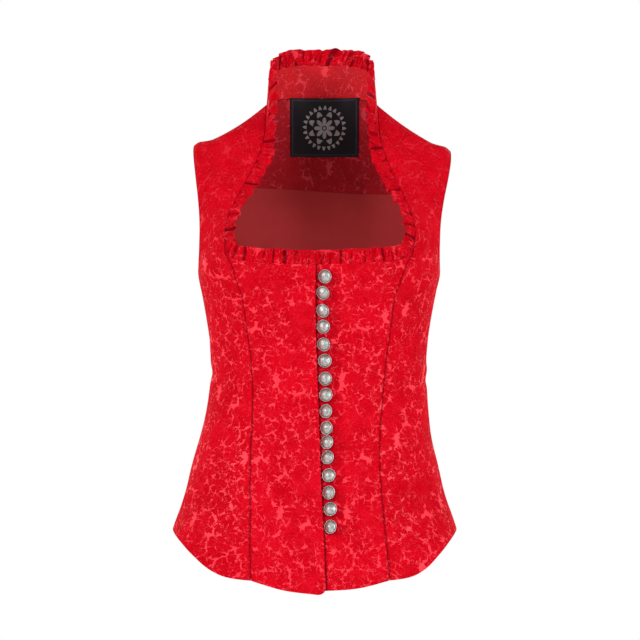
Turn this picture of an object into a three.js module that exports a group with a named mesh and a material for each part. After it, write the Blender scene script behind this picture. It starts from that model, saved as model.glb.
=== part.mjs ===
// The bodice of a dirndl, filled out as when it is worn: four brocade panels on each side, a standing collar,
// a gathered ruffle round the neck, and a row of domed buttons closed with cord loops.
// Millimetres, +Z up. The front faces -Y and the wearer's right side is at -X.
// The origin lies midway between the shoulders, at the height where they carry the straps.
import * as THREE from "three";

// ---------------------------------------------------------------- cloth
const WALL = 2; // brocade, interlining and lining, sewn as one
const SKIN_WALL = 1; // facing, lining and label
const SEAM_GAP = 0.3;
const LAYER_GAP = 0.4;

// ---------------------------------------------------------------- grid of the panels
const LOWER_ROWS = 14; // rows of cloth between the hem and the chest
const EDGE_PULL = 5; // how late a row bends towards the shape of its panel's top edge
const SIDE_COLUMNS = 6;
const NECK_COLUMNS = 4; // of the centre back, under the collar
const NECK_SHARE = 0.4; // of the centre back's top, sewn to the collar
const STRAP_STEPS = 2; // rows of cloth for each row of FRONT_YOKE
const YOKE_STEPS = 2; // rows of cloth for each row of BACK_YOKE

// Level sections of the figure: half its width, and its depth in front of and behind the side seams.
const SECTIONS = table("z halfWidth front back", [
  [-560, 192, 114, 133],
  [-520, 184, 113, 131],
  [-482, 172.6, 112, 127],
  [-443, 158.6, 107.5, 118],
  [-404, 149.5, 101.5, 107],
  [-365, 139.7, 96, 94],
  [-326, 133.6, 92.5, 84],
  [-287, 131, 92, 80],
  [-258, 132.5, 94.5, 82],
  [-228, 137, 101, 88],
  [-200, 142, 108, 95],
  [-174, 147, 114, 100],
  [-142, 146.5, 114.5, 103],
  [-108, 146, 111, 104],
]);
const FRONT_POWER = 2.6; // 2 would be an ellipse: more is flatter across, with fuller sides
const BACK_POWER = 2.7;
const BUST = { x: 74, z: -188, spreadX: 34, spreadZ: 36, rise: 9 };

// How far the middle of the figure stands to the side, for its easy stance.
const LEAN = table("z x", [
  [-560, -5.7],
  [-470, -5.5],
  [-384, -4.6],
  [-340, -2.3],
  [-290, -0.6],
  [-170, -0.2],
  [-111, 1.4],
  [-72, 2.6],
  [-33, 3.8],
  [45, 3.4],
  [115, 3],
]);

// The right shoulder is carried a little higher than the left, most of all at its end.
const SHOULDER_ROLL = { rise: 3.4, x: 157, bottom: -140, top: -30 };

// Distance of the two curved seams from the middle.
const FRONT_SEAM = table("z x", [
  [-560, 82],
  [-505, 81],
  [-451, 78],
  [-383, 76.5],
  [-331, 77],
  [-280, 80],
  [-242, 85],
  [-203, 90],
  [-186, 96],
  [-165, 103],
  [-152, 110],
  [-131, 113.2],
]);
// Towards the hem both front seams swing a little to the left.
const SEAM_SWAY = table("z x", [
  [-560, 8],
  [-520, 6.3],
  [-490, 4.5],
  [-455, 2.8],
  [-425, 1.2],
  [-385, 0],
]);
const BACK_SEAM = table("z x", [
  [-560, 74],
  [-450, 66],
  [-360, 58],
  [-287, 56],
  [-240, 61],
  [-200, 73],
  [-165, 95],
  [-135, 117],
  [-108, 137.2],
]);

// Round the body a panel is one station: 0 is the centre front, 1 the front seam, 2 the side seam,
// 3 the back seam and 4 the centre back.
const HEM = table("station z", [
  [0, -549],
  [0.55, -546],
  [1, -537],
  [1.15, -533],
  [1.26, -525],
  [1.42, -509],
  [1.6, -495],
  [1.8, -486],
  [2, -483],
  [2.4, -488],
  [3, -496],
  [4, -505],
]);
const TOP = table("station z", [
  [0, -164.5],
  [0.2, -163.6],
  [0.72, -160.8],
  [0.885, -157.4],
  [0.965, -152.8],
  [0.99, -142],
  [1, -131],
  [1.5, -154],
  [2, -176],
  [2.07, -173],
  [2.2, -165],
  [2.4, -150],
  [2.53, -137],
  [2.73, -120],
  [3, -108],
  [4, -108],
]);

// The front strap: its neck edge, its middle and its armhole edge, from the chest up to the shoulder seam.
const FRONT_YOKE = table("neckX neckY neckZ middleX middleY middleZ armX armY armZ", [
  [112.5, -86, -119, 135.5, -60.5, -142, 146.3, -23, -165],
  [107.5, -81.5, -99, 129.5, -69, -119, 145, -44, -143],
  [99, -74, -81, 125, -65, -96, 145.5, -46, -113],
  [89, -62.5, -61, 121, -55, -70, 149, -38, -83],
  [78.5, -45.5, -37, 117.5, -40.5, -43, 154, -24, -54],
  [71, -28.5, -14, 114.5, -24, -21.5, 157, -10, -34],
  [68.5, -12, 12, 112.5, -9, -3.8, 157.5, -1, -25],
  [67.5, 5, 34, 112, 5, 1.2, 157, 6, -21],
]);

// The back yoke, from the shoulder blades up to just under the collar and the shoulder seam.
const BACK_YOKE = table("centreY centreZ neckX neckY neckZ middleX middleY middleZ armX armY armZ", [
  [102, -67, 78, 91.5, -68, 113.5, 73.5, -72, 140, 47, -83],
  [94, -22, 73, 77, -26, 112, 59, -38, 146, 36, -57],
  [84, 17, 69, 47, 13, 112, 34, -10, 153, 20, -35],
]);

// The collar: its seam to the back panels, from the nape to the shoulder, and its upper edge, from the centre
// back down its sloping front edge to the neckline.
const NECK_SEAM = table("share x y z", [
  [0, 0, 71, 47],
  [0.3, 27, 67, 46.5],
  [0.6, 48, 53, 44],
  [0.82, 60.5, 32, 40],
  [1, 67.5, 5, 34],
]);
const COLLAR_EDGE = table("x y z", [
  [0, 81, 89],
  [28, 77, 88.5],
  [48.5, 62, 84.5],
  [59.5, 40, 78.5],
  [64.5, 15, 72],
  [64.5, -2, 52],
  [64.5, -13, 29],
  [66.5, -21, 8],
  [69, -27, -7],
]);
const COLLAR_ROWS = 4;

// ---------------------------------------------------------------- closing
const CLOSING = table("z x", [
  [-560, 8.5],
  [-460, 4.5],
  [-420, 2.5],
  [-360, 0.5],
  [-330, -0.5],
  [-230, -4],
  [-160, -3.5],
]); // front edge of the right front, which lies on top
const UNDERLAP = 11; // of the left front, behind that edge
const OVERLAP_RISE = 2.6; // of the right front's edge above the left front
const OVERLAP_RISEN = 12; // distance from the edge where it is fully risen, and twice that where it begins
const HEM_DROP = 5; // of the right front below the left front, at the closing
const HEM_CORNER = 9;
const RIGHT_COLUMNS = [0, 0.05, 0.1, 0.16, 0.22, 0.29, 0.42, 0.55, 0.67, 0.78, 0.88, 0.94, 0.975, 1];
const LEFT_COLUMNS = [0, 0.108, 0.23, 0.36, 0.5, 0.64, 0.76, 0.87, 0.94, 0.975, 1];

const BUTTON = { radius: 8.2, height: 5.4, shank: 2, lift: 3.2, sides: 12, fromEdge: 10.6 };
const FIRST_BUTTON = -179;
const BUTTON_PITCH = 19.7;
const HAND_SEWN = [0, 1.6, -1.4, 0.5, -0.7, -1.2, -2.6, -2.6, -2.2, -2, 0.4, 2.1, 1, 0.6, 0.9, 0.4];
const LOOP = { radius: 1.1, clear: 0.3, sides: 6, steps: 8 };

// ---------------------------------------------------------------- ruffle
const RUFFLE = { wall: 1.2, depth: 2.7, rootDepth: 1, steps: 4, rows: 2, ease: 22 };
// From the closing to the nape: the waves made so far, the ruffle's width, and its tilt in degrees out of the
// cloth's own direction, outwards if positive.
const RUFFLE_COURSE = table("share waves width tilt", [
  [0, 0, 17, 14],
  [0.2, 7.5, 17, 12],
  [0.27, 10, 17, 12],
  [0.42, 14.5, 18, 12],
  [0.57, 19, 18, 4],
  [0.7, 22.6, 18, -12],
  [0.82, 26, 20, -8],
  [0.91, 28.6, 22, 6],
  [1, 31, 22, 12],
]);

// ---------------------------------------------------------------- inside
const FACING_END = -63; // lower edge of the back neck's facing
const HEM_MARGIN = 8; // of the lining above the hem
const LABEL = { x: 3, width: 85, bottom: -25, top: 43, columns: 4, rows: 5, gap: 0.9 };

// ---------------------------------------------------------------- helpers
function table(names, rows) {
  const keys = names.split(" ");
  return rows.map((row) => Object.fromEntries(keys.map((key, i) => [key, row[i]])));
}

// A smooth curve through one column of a table, against another that rises.
function through(rows, at, value) {
  const xs = rows.map((row) => row[at]);
  const ys = rows.map((row) => row[value]);
  const last = xs.length - 1;
  const slopes = xs.map((_, i) => {
    const before = Math.max(i - 1, 0);
    const after = Math.min(i + 1, last);
    return (ys[after] - ys[before]) / (xs[after] - xs[before]);
  });
  return (x) => {
    let i = 0;
    while (i < last - 1 && x > xs[i + 1]) i += 1;
    const span = xs[i + 1] - xs[i];
    const t = THREE.MathUtils.clamp((x - xs[i]) / span, 0, 1);
    const rise = 3 * t ** 2 - 2 * t ** 3;
    const leave = (t ** 3 - 2 * t ** 2 + t) * slopes[i] * span;
    const arrive = (t ** 3 - t ** 2) * slopes[i + 1] * span;
    return ys[i] * (1 - rise) + ys[i + 1] * rise + leave + arrive;
  };
}

const lerp = THREE.MathUtils.lerp;
const halfWidth = through(SECTIONS, "z", "halfWidth");
const frontDepth = through(SECTIONS, "z", "front");
const backDepth = through(SECTIONS, "z", "back");
const lean = through(LEAN, "z", "x");
const seamDistance = through(FRONT_SEAM, "z", "x");
const seamSway = through(SEAM_SWAY, "z", "x");
const frontSeam = (side, z) => seamDistance(z) + side * seamSway(z);
const backSeam = through(BACK_SEAM, "z", "x");
const hemHeight = through(HEM, "station", "z");
const topHeight = through(TOP, "station", "z");
const closing = through(CLOSING, "z", "x");

// A point at a distance from the figure's middle; side is -1 on the wearer's right and 1 on the left.
function place(side, x, y, z) {
  const { rise, x: reach, bottom, top } = SHOULDER_ROLL;
  const roll = rise * (x / reach) ** 3 * THREE.MathUtils.smoothstep(z, bottom, top);
  return new THREE.Vector3(side * x + lean(z), y, z - side * roll);
}

function frontY(x, z) {
  const out = Math.min(Math.abs(x) / halfWidth(z), 1);
  const across = (Math.abs(x) - BUST.x) / BUST.spreadX;
  const up = (z - BUST.z) / BUST.spreadZ;
  const bust = BUST.rise * Math.exp(-(across ** 2 + up ** 2) / 2);
  return -(frontDepth(z) + bust) * (1 - out ** FRONT_POWER) ** (1 / FRONT_POWER);
}

function backY(x, z) {
  const out = Math.min(Math.abs(x) / halfWidth(z), 1);
  return backDepth(z) * (1 - out ** BACK_POWER) ** (1 / BACK_POWER);
}

// Distance from the middle at a share of the way between two others, spaced evenly as the cloth turns.
function between(from, to, share, z, power) {
  const half = halfWidth(z);
  const turn = (x) => Math.asin(Math.min(x / half, 1) ** (power / 2));
  return half * Math.sin(lerp(turn(from), turn(to), share)) ** (2 / power);
}

// Height of a panel's row: level shares of the way up, bent to the top edge only near that edge.
function rowHeight(panel, share, up, drop = 0) {
  const straight = lerp(topHeight(panel), topHeight(panel + 1), share);
  const bend = topHeight(panel + share) - straight;
  return lerp(hemHeight(panel + share) - drop, straight, up) + bend * up ** EDGE_PULL;
}

function grid(rows, columns, pointAt) {
  return Array.from({ length: rows + 1 }, (_, row) =>
    columns.map((column) => pointAt(row / rows, column)),
  );
}

function evenShares(count) {
  return Array.from({ length: count + 1 }, (_, i) => i / count);
}

// ---------------------------------------------------------------- outer faces of the panels
function leftFront() {
  return grid(LOWER_ROWS, LEFT_COLUMNS, (up, share) => {
    const z = rowHeight(0, share, up);
    const x = lerp(closing(z) - lean(z) - UNDERLAP, frontSeam(1, z), share);
    return place(1, x, frontY(x, z), z);
  });
}

// The right front lies on top: it rises over the left front's edge, and its lower corner is rounded.
function rightFront() {
  return grid(LOWER_ROWS, RIGHT_COLUMNS, (up, share) => {
    const fromEdge = share * frontSeam(-1, hemHeight(0));
    const inCorner = Math.max(HEM_CORNER - fromEdge, 0);
    const corner = HEM_CORNER - Math.sqrt(HEM_CORNER ** 2 - inCorner ** 2);
    const drop = HEM_DROP * (1 - share) - corner;
    const z = rowHeight(0, share, up, drop);
    const x = lerp(lean(z) - closing(z), frontSeam(-1, z), share);
    const inside = x - lean(z) + closing(z);
    const rise = 1 - THREE.MathUtils.smoothstep(inside, OVERLAP_RISEN, 2 * OVERLAP_RISEN);
    return place(-1, x, frontY(x, z) - OVERLAP_RISE * rise, z);
  });
}

function yokePoint(side, row, share) {
  const neck = [row.neckX, row.neckY, row.neckZ];
  const middle = [row.middleX, row.middleY, row.middleZ];
  const arm = [row.armX, row.armY, row.armZ];
  const nearNeck = (1 - share) * (1 - 2 * share);
  const nearMiddle = 4 * share * (1 - share);
  const nearArm = share * (2 * share - 1);
  const [x, y, z] = neck.map((start, i) => start * nearNeck + middle[i] * nearMiddle + arm[i] * nearArm);
  return place(side, x, y, z);
}

// Rows of cloth that run on from a panel's last two rows through more rows, smoothly up each column.
function runOn(lower, guides, steps) {
  const stations = [lower.at(-2), lower.at(-1), ...guides];
  const columns = lower[0].map((_, column) => new THREE.CatmullRomCurve3(stations.map((row) => row[column])));
  const spans = stations.length - 1;
  const rows = [];
  for (let step = 1; step <= guides.length * steps; step += 1) {
    rows.push(columns.map((curve) => curve.getPoint((1 + step / steps) / spans)));
  }
  return [...lower, ...rows];
}

function sideFront(side) {
  const shares = evenShares(SIDE_COLUMNS);
  const lower = grid(LOWER_ROWS, shares, (up, share) => {
    const z = rowHeight(1, share, up);
    const x = between(frontSeam(side, z), halfWidth(z), share, z, FRONT_POWER);
    return place(side, x, frontY(x, z), z);
  });
  const strap = FRONT_YOKE.map((row) => shares.map((share) => yokePoint(side, row, share)));
  return runOn(lower, strap, STRAP_STEPS);
}

function sideBack(side) {
  return grid(LOWER_ROWS, evenShares(SIDE_COLUMNS), (up, share) => {
    const z = rowHeight(2, share, up);
    const x = between(halfWidth(z), backSeam(z), share, z, BACK_POWER);
    return place(side, x, backY(x, z), z);
  });
}

// Shares of the centre back from the middle outwards: under the collar, then along the shoulder seam.
const BACK_SHARES = [
  ...evenShares(NECK_COLUMNS).map((share) => share * NECK_SHARE),
  ...evenShares(SIDE_COLUMNS).slice(1).map((share) => lerp(NECK_SHARE, 1, share)),
];

function backTop(side, share) {
  if (share > NECK_SHARE) {
    return yokePoint(side, FRONT_YOKE.at(-1), (share - NECK_SHARE) / (1 - NECK_SHARE));
  }
  const along = share / NECK_SHARE;
  const [x, y, z] = ["x", "y", "z"].map((axis) => through(NECK_SEAM, "share", axis)(along));
  return place(side, x, y, z);
}

function backYokePoint(side, row, share) {
  const guides = table("share x y z", [
    [-NECK_SHARE, -row.neckX, row.neckY, row.neckZ],
    [0, 0, row.centreY, row.centreZ],
    [NECK_SHARE, row.neckX, row.neckY, row.neckZ],
    [(1 + NECK_SHARE) / 2, row.middleX, row.middleY, row.middleZ],
    [1, row.armX, row.armY, row.armZ],
  ]);
  const [x, y, z] = ["x", "y", "z"].map((axis) => through(guides, "share", axis)(share));
  return place(side, x, y, z);
}

function centreBack(side) {
  const lower = grid(LOWER_ROWS, BACK_SHARES, (up, share) => {
    const z = rowHeight(3, 1 - share, up);
    const x = between(0, backSeam(z), share, z, BACK_POWER);
    return place(side, x, backY(x, z), z);
  });
  const yoke = BACK_YOKE.map((row) => BACK_SHARES.map((share) => backYokePoint(side, row, share)));
  const top = BACK_SHARES.map((share) => backTop(side, share));
  return runOn(lower, [...yoke, top], YOKE_STEPS);
}

// The collar stands on the neck seam and, in front of the shoulder seam, on the strap's neck edge.
function collar(fronts, backs) {
  const half = (side, front, back) => {
    const neck = back.at(-1).slice(0, NECK_COLUMNS + 1);
    const steps = COLLAR_EDGE.length - neck.length;
    const strap = front.slice(-1 - steps, -1).map((row) => row[0]);
    const seam = [...neck, ...strap.reverse()];
    return seam.map((foot, i) => {
      const edge = COLLAR_EDGE[i];
      const head = place(side, edge.x, edge.y, edge.z);
      return evenShares(COLLAR_ROWS).map((up) => foot.clone().lerp(head, up));
    });
  };
  const right = half(-1, fronts[0], backs[0]);
  const left = half(1, fronts[1], backs[1]);
  const stations = [...right.reverse(), ...left.slice(1)];
  return evenShares(COLLAR_ROWS).map((_, row) => stations.map((station) => station[row]));
}

// ---------------------------------------------------------------- walls
const KEY_SHIFT = 0.0037; // keeps round numbers off the limits of rounding
const keyOf = (point) => point.toArray().map((value) => (value + KEY_SHIFT).toFixed(2)).join();

// The normal of each grid point, shared by every panel that meets there, so walls line up across a seam.
function sharedNormals(grids) {
  const normals = new Map();
  for (const rows of grids) {
    const faces = [];
    let outward = 0;
    for (let r = 0; r < rows.length - 1; r += 1) {
      for (let c = 0; c < rows[0].length - 1; c += 1) {
        const corners = [rows[r][c], rows[r][c + 1], rows[r + 1][c + 1], rows[r + 1][c]];
        const across = corners[2].clone().sub(corners[0]);
        const other = corners[3].clone().sub(corners[1]);
        const normal = across.cross(other);
        const middle = corners[0].clone().add(corners[2]);
        outward += normal.x * middle.x + normal.y * middle.y;
        faces.push({ corners, normal });
      }
    }
    for (const { corners, normal } of faces) {
      for (const corner of corners) {
        const key = keyOf(corner);
        if (!normals.has(key)) normals.set(key, new THREE.Vector3());
        normals.get(key).addScaledVector(normal, Math.sign(outward));
      }
    }
  }
  normals.forEach((normal) => normal.normalize());
  return normals;
}

// Moves the named sides of a grid back by half a seam gap.
function parted(rows, sides) {
  const out = rows.map((row) => row.map((point) => point.clone()));
  const last = rows.length - 1;
  const end = rows[0].length - 1;
  const pull = (r, c, toR, toC) => {
    const step = rows[toR][toC].clone().sub(rows[r][c]).setLength(SEAM_GAP / 2 + 0.02);
    out[r][c].add(step);
  };
  rows.forEach((row, r) => {
    if (sides.includes("start")) pull(r, 0, r, 1);
    if (sides.includes("end")) pull(r, end, r, end - 1);
  });
  rows[0].forEach((_, c) => {
    if (sides.includes("bottom")) pull(0, c, 1, c);
    if (sides.includes("top")) pull(last, c, last - 1, c);
  });
  return out;
}

function signedVolume(points, index) {
  let volume = 0;
  for (let i = 0; i < index.length; i += 3) {
    const [a, b, c] = [points[index[i]], points[index[i + 1]], points[index[i + 2]]];
    volume += a.dot(b.clone().cross(c)) / 6;
  }
  return volume;
}

// A closed wall between two grids of points that have the same rows and columns. Each square is split upwards
// and away from the middle column of a mirrored grid, as on the panels to either side.
function wallBetween(outer, inner, middle = 0) {
  const rows = outer.length;
  const columns = outer[0].length;
  const points = [...outer.flat(), ...inner.flat()];
  const at = (r, c, layer) => layer * rows * columns + r * columns + c;
  const index = [];
  const quad = (a, b, c, d) => index.push(a, b, c, a, c, d);
  for (let r = 0; r < rows - 1; r += 1) {
    for (let c = 0; c < columns - 1; c += 1) {
      if (c < middle) {
        quad(at(r, c + 1, 0), at(r + 1, c + 1, 0), at(r + 1, c, 0), at(r, c, 0));
        quad(at(r, c + 1, 1), at(r, c, 1), at(r + 1, c, 1), at(r + 1, c + 1, 1));
      } else {
        quad(at(r, c, 0), at(r, c + 1, 0), at(r + 1, c + 1, 0), at(r + 1, c, 0));
        quad(at(r, c, 1), at(r + 1, c, 1), at(r + 1, c + 1, 1), at(r, c + 1, 1));
      }
    }
    quad(at(r, 0, 0), at(r + 1, 0, 0), at(r + 1, 0, 1), at(r, 0, 1));
    quad(at(r + 1, columns - 1, 0), at(r, columns - 1, 0), at(r, columns - 1, 1), at(r + 1, columns - 1, 1));
  }
  const top = rows - 1;
  for (let c = 0; c < columns - 1; c += 1) {
    if (c < middle) {
      quad(at(0, c, 0), at(0, c, 1), at(0, c + 1, 1), at(0, c + 1, 0));
      quad(at(top, c + 1, 0), at(top, c + 1, 1), at(top, c, 1), at(top, c, 0));
    } else {
      quad(at(0, c + 1, 0), at(0, c, 0), at(0, c, 1), at(0, c + 1, 1));
      quad(at(top, c, 0), at(top, c + 1, 0), at(top, c + 1, 1), at(top, c, 1));
    }
  }
  if (signedVolume(points, index) < 0) index.reverse();
  const geometry = new THREE.BufferGeometry().setFromPoints(points);
  geometry.setIndex(index);
  geometry.computeVertexNormals();
  return geometry;
}

// A wall whose outer face lies `depth` inside the points of a grid.
function wall(rows, normals, depth, thickness, sides = [], middle = 0) {
  const outer = parted(rows, sides);
  const moved = (distance) =>
    outer.map((row, r) => row.map((point, c) => point.clone().addScaledVector(normals(r, c), -distance)));
  return wallBetween(moved(depth), moved(depth + thickness), middle);
}

// ---------------------------------------------------------------- colours
function finish(color, roughness, metalness = 0) {
  return new THREE.MeshStandardMaterial({ color, roughness, metalness });
}
const brocade = finish("#c4122a", 0.6);
const lining = finish("#7d2226", 0.8);
const pewter = finish("#8f8d8c", 0.35, 0.9);
const cord = finish("#a01020", 0.7);
const labelCloth = finish("#16161c", 0.7);

const bodice = new THREE.Group();
bodice.name = "dirndl_bodice";

function add(name, geometry, material) {
  const mesh = new THREE.Mesh(geometry, material);
  mesh.name = name;
  bodice.add(mesh);
  return mesh;
}

// ---------------------------------------------------------------- panels
const sideFronts = [sideFront(-1), sideFront(1)];
const sideBacks = [sideBack(-1), sideBack(1)];
const centreBacks = [centreBack(-1), centreBack(1)];
const frontRight = rightFront();
const frontLeft = leftFront();
const collarRows = collar(sideFronts, centreBacks);
const panels = [frontRight, frontLeft, ...sideFronts, ...sideBacks, ...centreBacks, collarRows];
const normalOf = sharedNormals(panels);
const gridNormals = (rows) => (r, c) => normalOf.get(keyOf(rows[r][c]));

function addPanel(name, rows, sides, middle) {
  add(name, wall(rows, gridNormals(rows), 0, WALL, sides, middle), brocade);
}
addPanel("front_centre_right", frontRight, ["end"]);
addPanel("front_centre_left", frontLeft, ["end"]);
["right", "left"].forEach((hand, i) => {
  addPanel(`side_front_${hand}`, sideFronts[i], ["start", "end", "top"]);
  addPanel(`side_back_${hand}`, sideBacks[i], ["start", "end"]);
  addPanel(`centre_back_${hand}`, centreBacks[i], ["start", "end", "top"]);
});
addPanel("collar_stand", collarRows, ["bottom"], COLLAR_EDGE.length - 1);

// ---------------------------------------------------------------- ruffle
// The neck's edge in the middle of the wall, from the closing up the right side, round the collar and down
// the left side.
function neckEdge() {
  const inWall = (point) => point.clone().addScaledVector(normalOf.get(keyOf(point)), -WALL / 2);
  const strapRows = sideFronts[0].length - (COLLAR_EDGE.length - NECK_COLUMNS - 1);
  const strapEdge = (rows) => rows.slice(LOWER_ROWS + 1, strapRows - 1).map((row) => row[0]);
  const right = [...frontRight.at(-1), ...strapEdge(sideFronts[0])];
  const left = [...frontLeft.at(-1).slice(1), ...strapEdge(sideFronts[1])];
  const points = [...right, ...collarRows.at(-1), ...left.reverse()];
  const curve = new THREE.CatmullRomCurve3(points.map(inWall), false, "catmullrom", 0);
  const normals = points.map((point) => normalOf.get(keyOf(point)));
  return { curve, normals };
}

function ruffleSurface() {
  const { curve, normals } = neckEdge();
  curve.arcLengthDivisions = 600;
  const length = curve.getLength();
  const tiltAt = through(RUFFLE_COURSE, "share", "tilt");
  const frameAt = (s) => {
    const u = THREE.MathUtils.clamp(s / length, 0, 1);
    const root = curve.getPointAt(u);
    const along = curve.getTangentAt(u);
    const t = curve.getUtoTmapping(u) * (normals.length - 1);
    const before = Math.min(Math.floor(t), normals.length - 2);
    const out = normals[before].clone().lerp(normals[before + 1], t - before).normalize();
    const tilt = THREE.MathUtils.degToRad(tiltAt(1 - Math.abs(1 - 2 * u)));
    const on = along.clone().cross(out).normalize();
    const offEdge = on.clone();
    on.multiplyScalar(Math.cos(tilt)).addScaledVector(out, Math.sin(tilt));
    return { root, along, out, offEdge, on };
  };
  const eased = (s) => {
    const sum = new THREE.Vector3();
    const reach = [-1, -0.6, -0.25, 0, 0.25, 0.6, 1];
    reach.forEach((share) => sum.add(frameAt(s + share * RUFFLE.ease).on));
    return sum.divideScalar(reach.length);
  };
  return { length, frameAt, eased };
}

// One length of the ruffle: its waves deepen from the gathered root to the free edge, and no two are alike.
function ruffleLength(surface, from, to) {
  const whole = RUFFLE_COURSE.at(-1).waves;
  const shareAt = through(RUFFLE_COURSE, "waves", "share");
  const widthAt = through(RUFFLE_COURSE, "waves", "width");
  const along = (count) => (count <= whole ? shareAt(count) : 2 - shareAt(2 * whole - count)) / 2;
  const steps = Math.round((to - from) * RUFFLE.steps);
  const rows = evenShares(RUFFLE.rows);
  const columns = evenShares(steps).map((share) => {
    const count = lerp(from, to, share);
    const s = along(count) * surface.length;
    const frame = surface.frameAt(s);
    const on = surface.eased(s);
    const width = widthAt(Math.min(count, 2 * whole - count));
    const face = frame.along.clone().cross(on).normalize();
    if (face.dot(frame.out) < 0) face.negate();
    const wave = Math.sin(2 * Math.PI * count);
    const strength = 0.85 + 0.2 * Math.sin(count * 1.9) + 0.12 * Math.sin(count * 4.3 + 1);
    return rows.map((out) => {
      const depth = lerp(RUFFLE.rootDepth, RUFFLE.depth, out) * strength;
      const swing = frame.out.clone().lerp(face, Math.min(2 * out, 1)).normalize();
      return frame.root
        .clone()
        .addScaledVector(frame.offEdge, SEAM_GAP + RUFFLE.wall / 2)
        .addScaledVector(on, width * out)
        .addScaledVector(swing, wave * depth);
    });
  });
  const points = rows.map((_, row) => columns.map((column) => column[row]));
  const normals = sharedNormals([points]);
  return wall(points, (r, c) => normals.get(keyOf(points[r][c])), -RUFFLE.wall / 2, RUFFLE.wall);
}

const ruffle = ruffleSurface();
// The waves at which one length ends and the next begins: at the closing and where the collar begins.
const RUFFLE_CUTS = [0.02, 19.25, 42.75, 61.98];
const CUT_GAP = 0.03; // of a wave
["neck_ruffle_right", "collar_ruffle", "neck_ruffle_left"].forEach((name, i) => {
  add(name, ruffleLength(ruffle, RUFFLE_CUTS[i] + CUT_GAP, RUFFLE_CUTS[i + 1] - CUT_GAP), brocade);
});

// ---------------------------------------------------------------- inside of the back
// The two centre backs as one grid, from the right armhole to the left one.
const wholeBack = centreBacks[0].map((row, r) => [...[...row].reverse(), ...centreBacks[1][r].slice(1)]);
const backNormals = wholeBack.map((row) => row.map((point) => normalOf.get(keyOf(point))));

// Where a column of points, each with its normal, passes a height.
function atHeight(points, normals, z) {
  let i = 0;
  while (i < points.length - 2 && points[i + 1].z < z) i += 1;
  const share = THREE.MathUtils.clamp((z - points[i].z) / (points[i + 1].z - points[i].z), 0, 1);
  return {
    point: points[i].clone().lerp(points[i + 1], share),
    normal: normals[i].clone().lerp(normals[i + 1], share).normalize(),
  };
}

// A thin wall inside a grid of spots, each a point of the panels with its normal.
function skin(columns, depth, middle, sides = []) {
  const rows = columns[0].map((_, r) => columns.map((column) => column[r]));
  const points = rows.map((row) => row.map((spot) => spot.point));
  return wall(points, (r, c) => rows[r][c].normal, depth, SKIN_WALL, sides, middle);
}

// Every `stride`th column of the back between two ends, each found from the column's own points and normals,
// with the back's own rows from `first` to `last` between them.
function backColumns(stride, start, first, last, finish) {
  const columns = [];
  for (let c = stride; c < wholeBack[0].length - stride; c += stride) {
    const points = wholeBack.map((row) => row[c]);
    const normals = backNormals.map((row) => row[c]);
    const rows = points.map((point, r) => ({ point, normal: normals[r] })).slice(first, last + 1);
    columns.push([start(points, normals), ...rows, finish(points, normals)]);
  }
  return columns;
}

const CHEST_ROW = LOWER_ROWS;
const BLADE_ROW = CHEST_ROW + YOKE_STEPS; // the first row of BACK_YOKE, just below the facing's end
const UPPER_ROW = BLADE_ROW + YOKE_STEPS;
const skinDepth = WALL + LAYER_GAP;
const facingEnd = (points, normals) => atHeight(points, normals, FACING_END);
const liningEnd = (points, normals) => atHeight(points, normals, FACING_END - SEAM_GAP);
const atSeam = (points, normals) => ({ point: points.at(-1), normal: normals.at(-1) });
const overHem = (points, normals) => atHeight(points, normals, points[0].z + HEM_MARGIN);

const facing = backColumns(1, facingEnd, UPPER_ROW, wholeBack.length - 2, atSeam);
add("back_facing", skin(facing, skinDepth, NECK_COLUMNS + SIDE_COLUMNS - 1, ["top"]), brocade);
const backLining = backColumns(2, overHem, 1, BLADE_ROW, liningEnd);
add("back_lining", skin(backLining, skinDepth, (NECK_COLUMNS + SIDE_COLUMNS) / 2 - 1), lining);

// The point of a grid of points at a distance to the side and a height, with its normal.
function spotOn(rows, normals, x, z) {
  const crossings = rows.map((row, r) => {
    let c = 0;
    while (c < row.length - 2 && row[c + 1].x < x) c += 1;
    const share = (x - row[c].x) / (row[c + 1].x - row[c].x);
    return {
      point: row[c].clone().lerp(row[c + 1], share),
      normal: normals[r][c].clone().lerp(normals[r][c + 1], share),
    };
  });
  return atHeight(crossings.map((spot) => spot.point), crossings.map((spot) => spot.normal), z);
}

const label = evenShares(LABEL.columns).map((across) =>
  evenShares(LABEL.rows).map((up) =>
    spotOn(
      wholeBack,
      backNormals,
      lean(0) + LABEL.x + LABEL.width * (across - 0.5),
      lerp(LABEL.bottom, LABEL.top, up),
    ),
  ),
);
add("neck_label", skin(label, skinDepth + SKIN_WALL + LABEL.gap, LABEL.columns / 2), labelCloth);

// ---------------------------------------------------------------- buttons and loops
// A pewter dome with a raised rim and a groove inside it, on a shank.
function buttonGeometry() {
  const { radius, height, shank, lift, sides } = BUTTON;
  const profile = [
    [0, 0],
    [shank, 0],
    [shank, lift],
    [radius * 0.9, lift + 0.4],
    [radius, lift + 1.1],
    [radius * 0.9, lift + 2.1],
    [radius * 0.74, lift + 1.9],
    [radius * 0.45, lift + height - 0.9],
    [0, lift + height],
  ];
  return new THREE.LatheGeometry(profile.map(([r, h]) => new THREE.Vector2(r, h)), sides);
}

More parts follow.
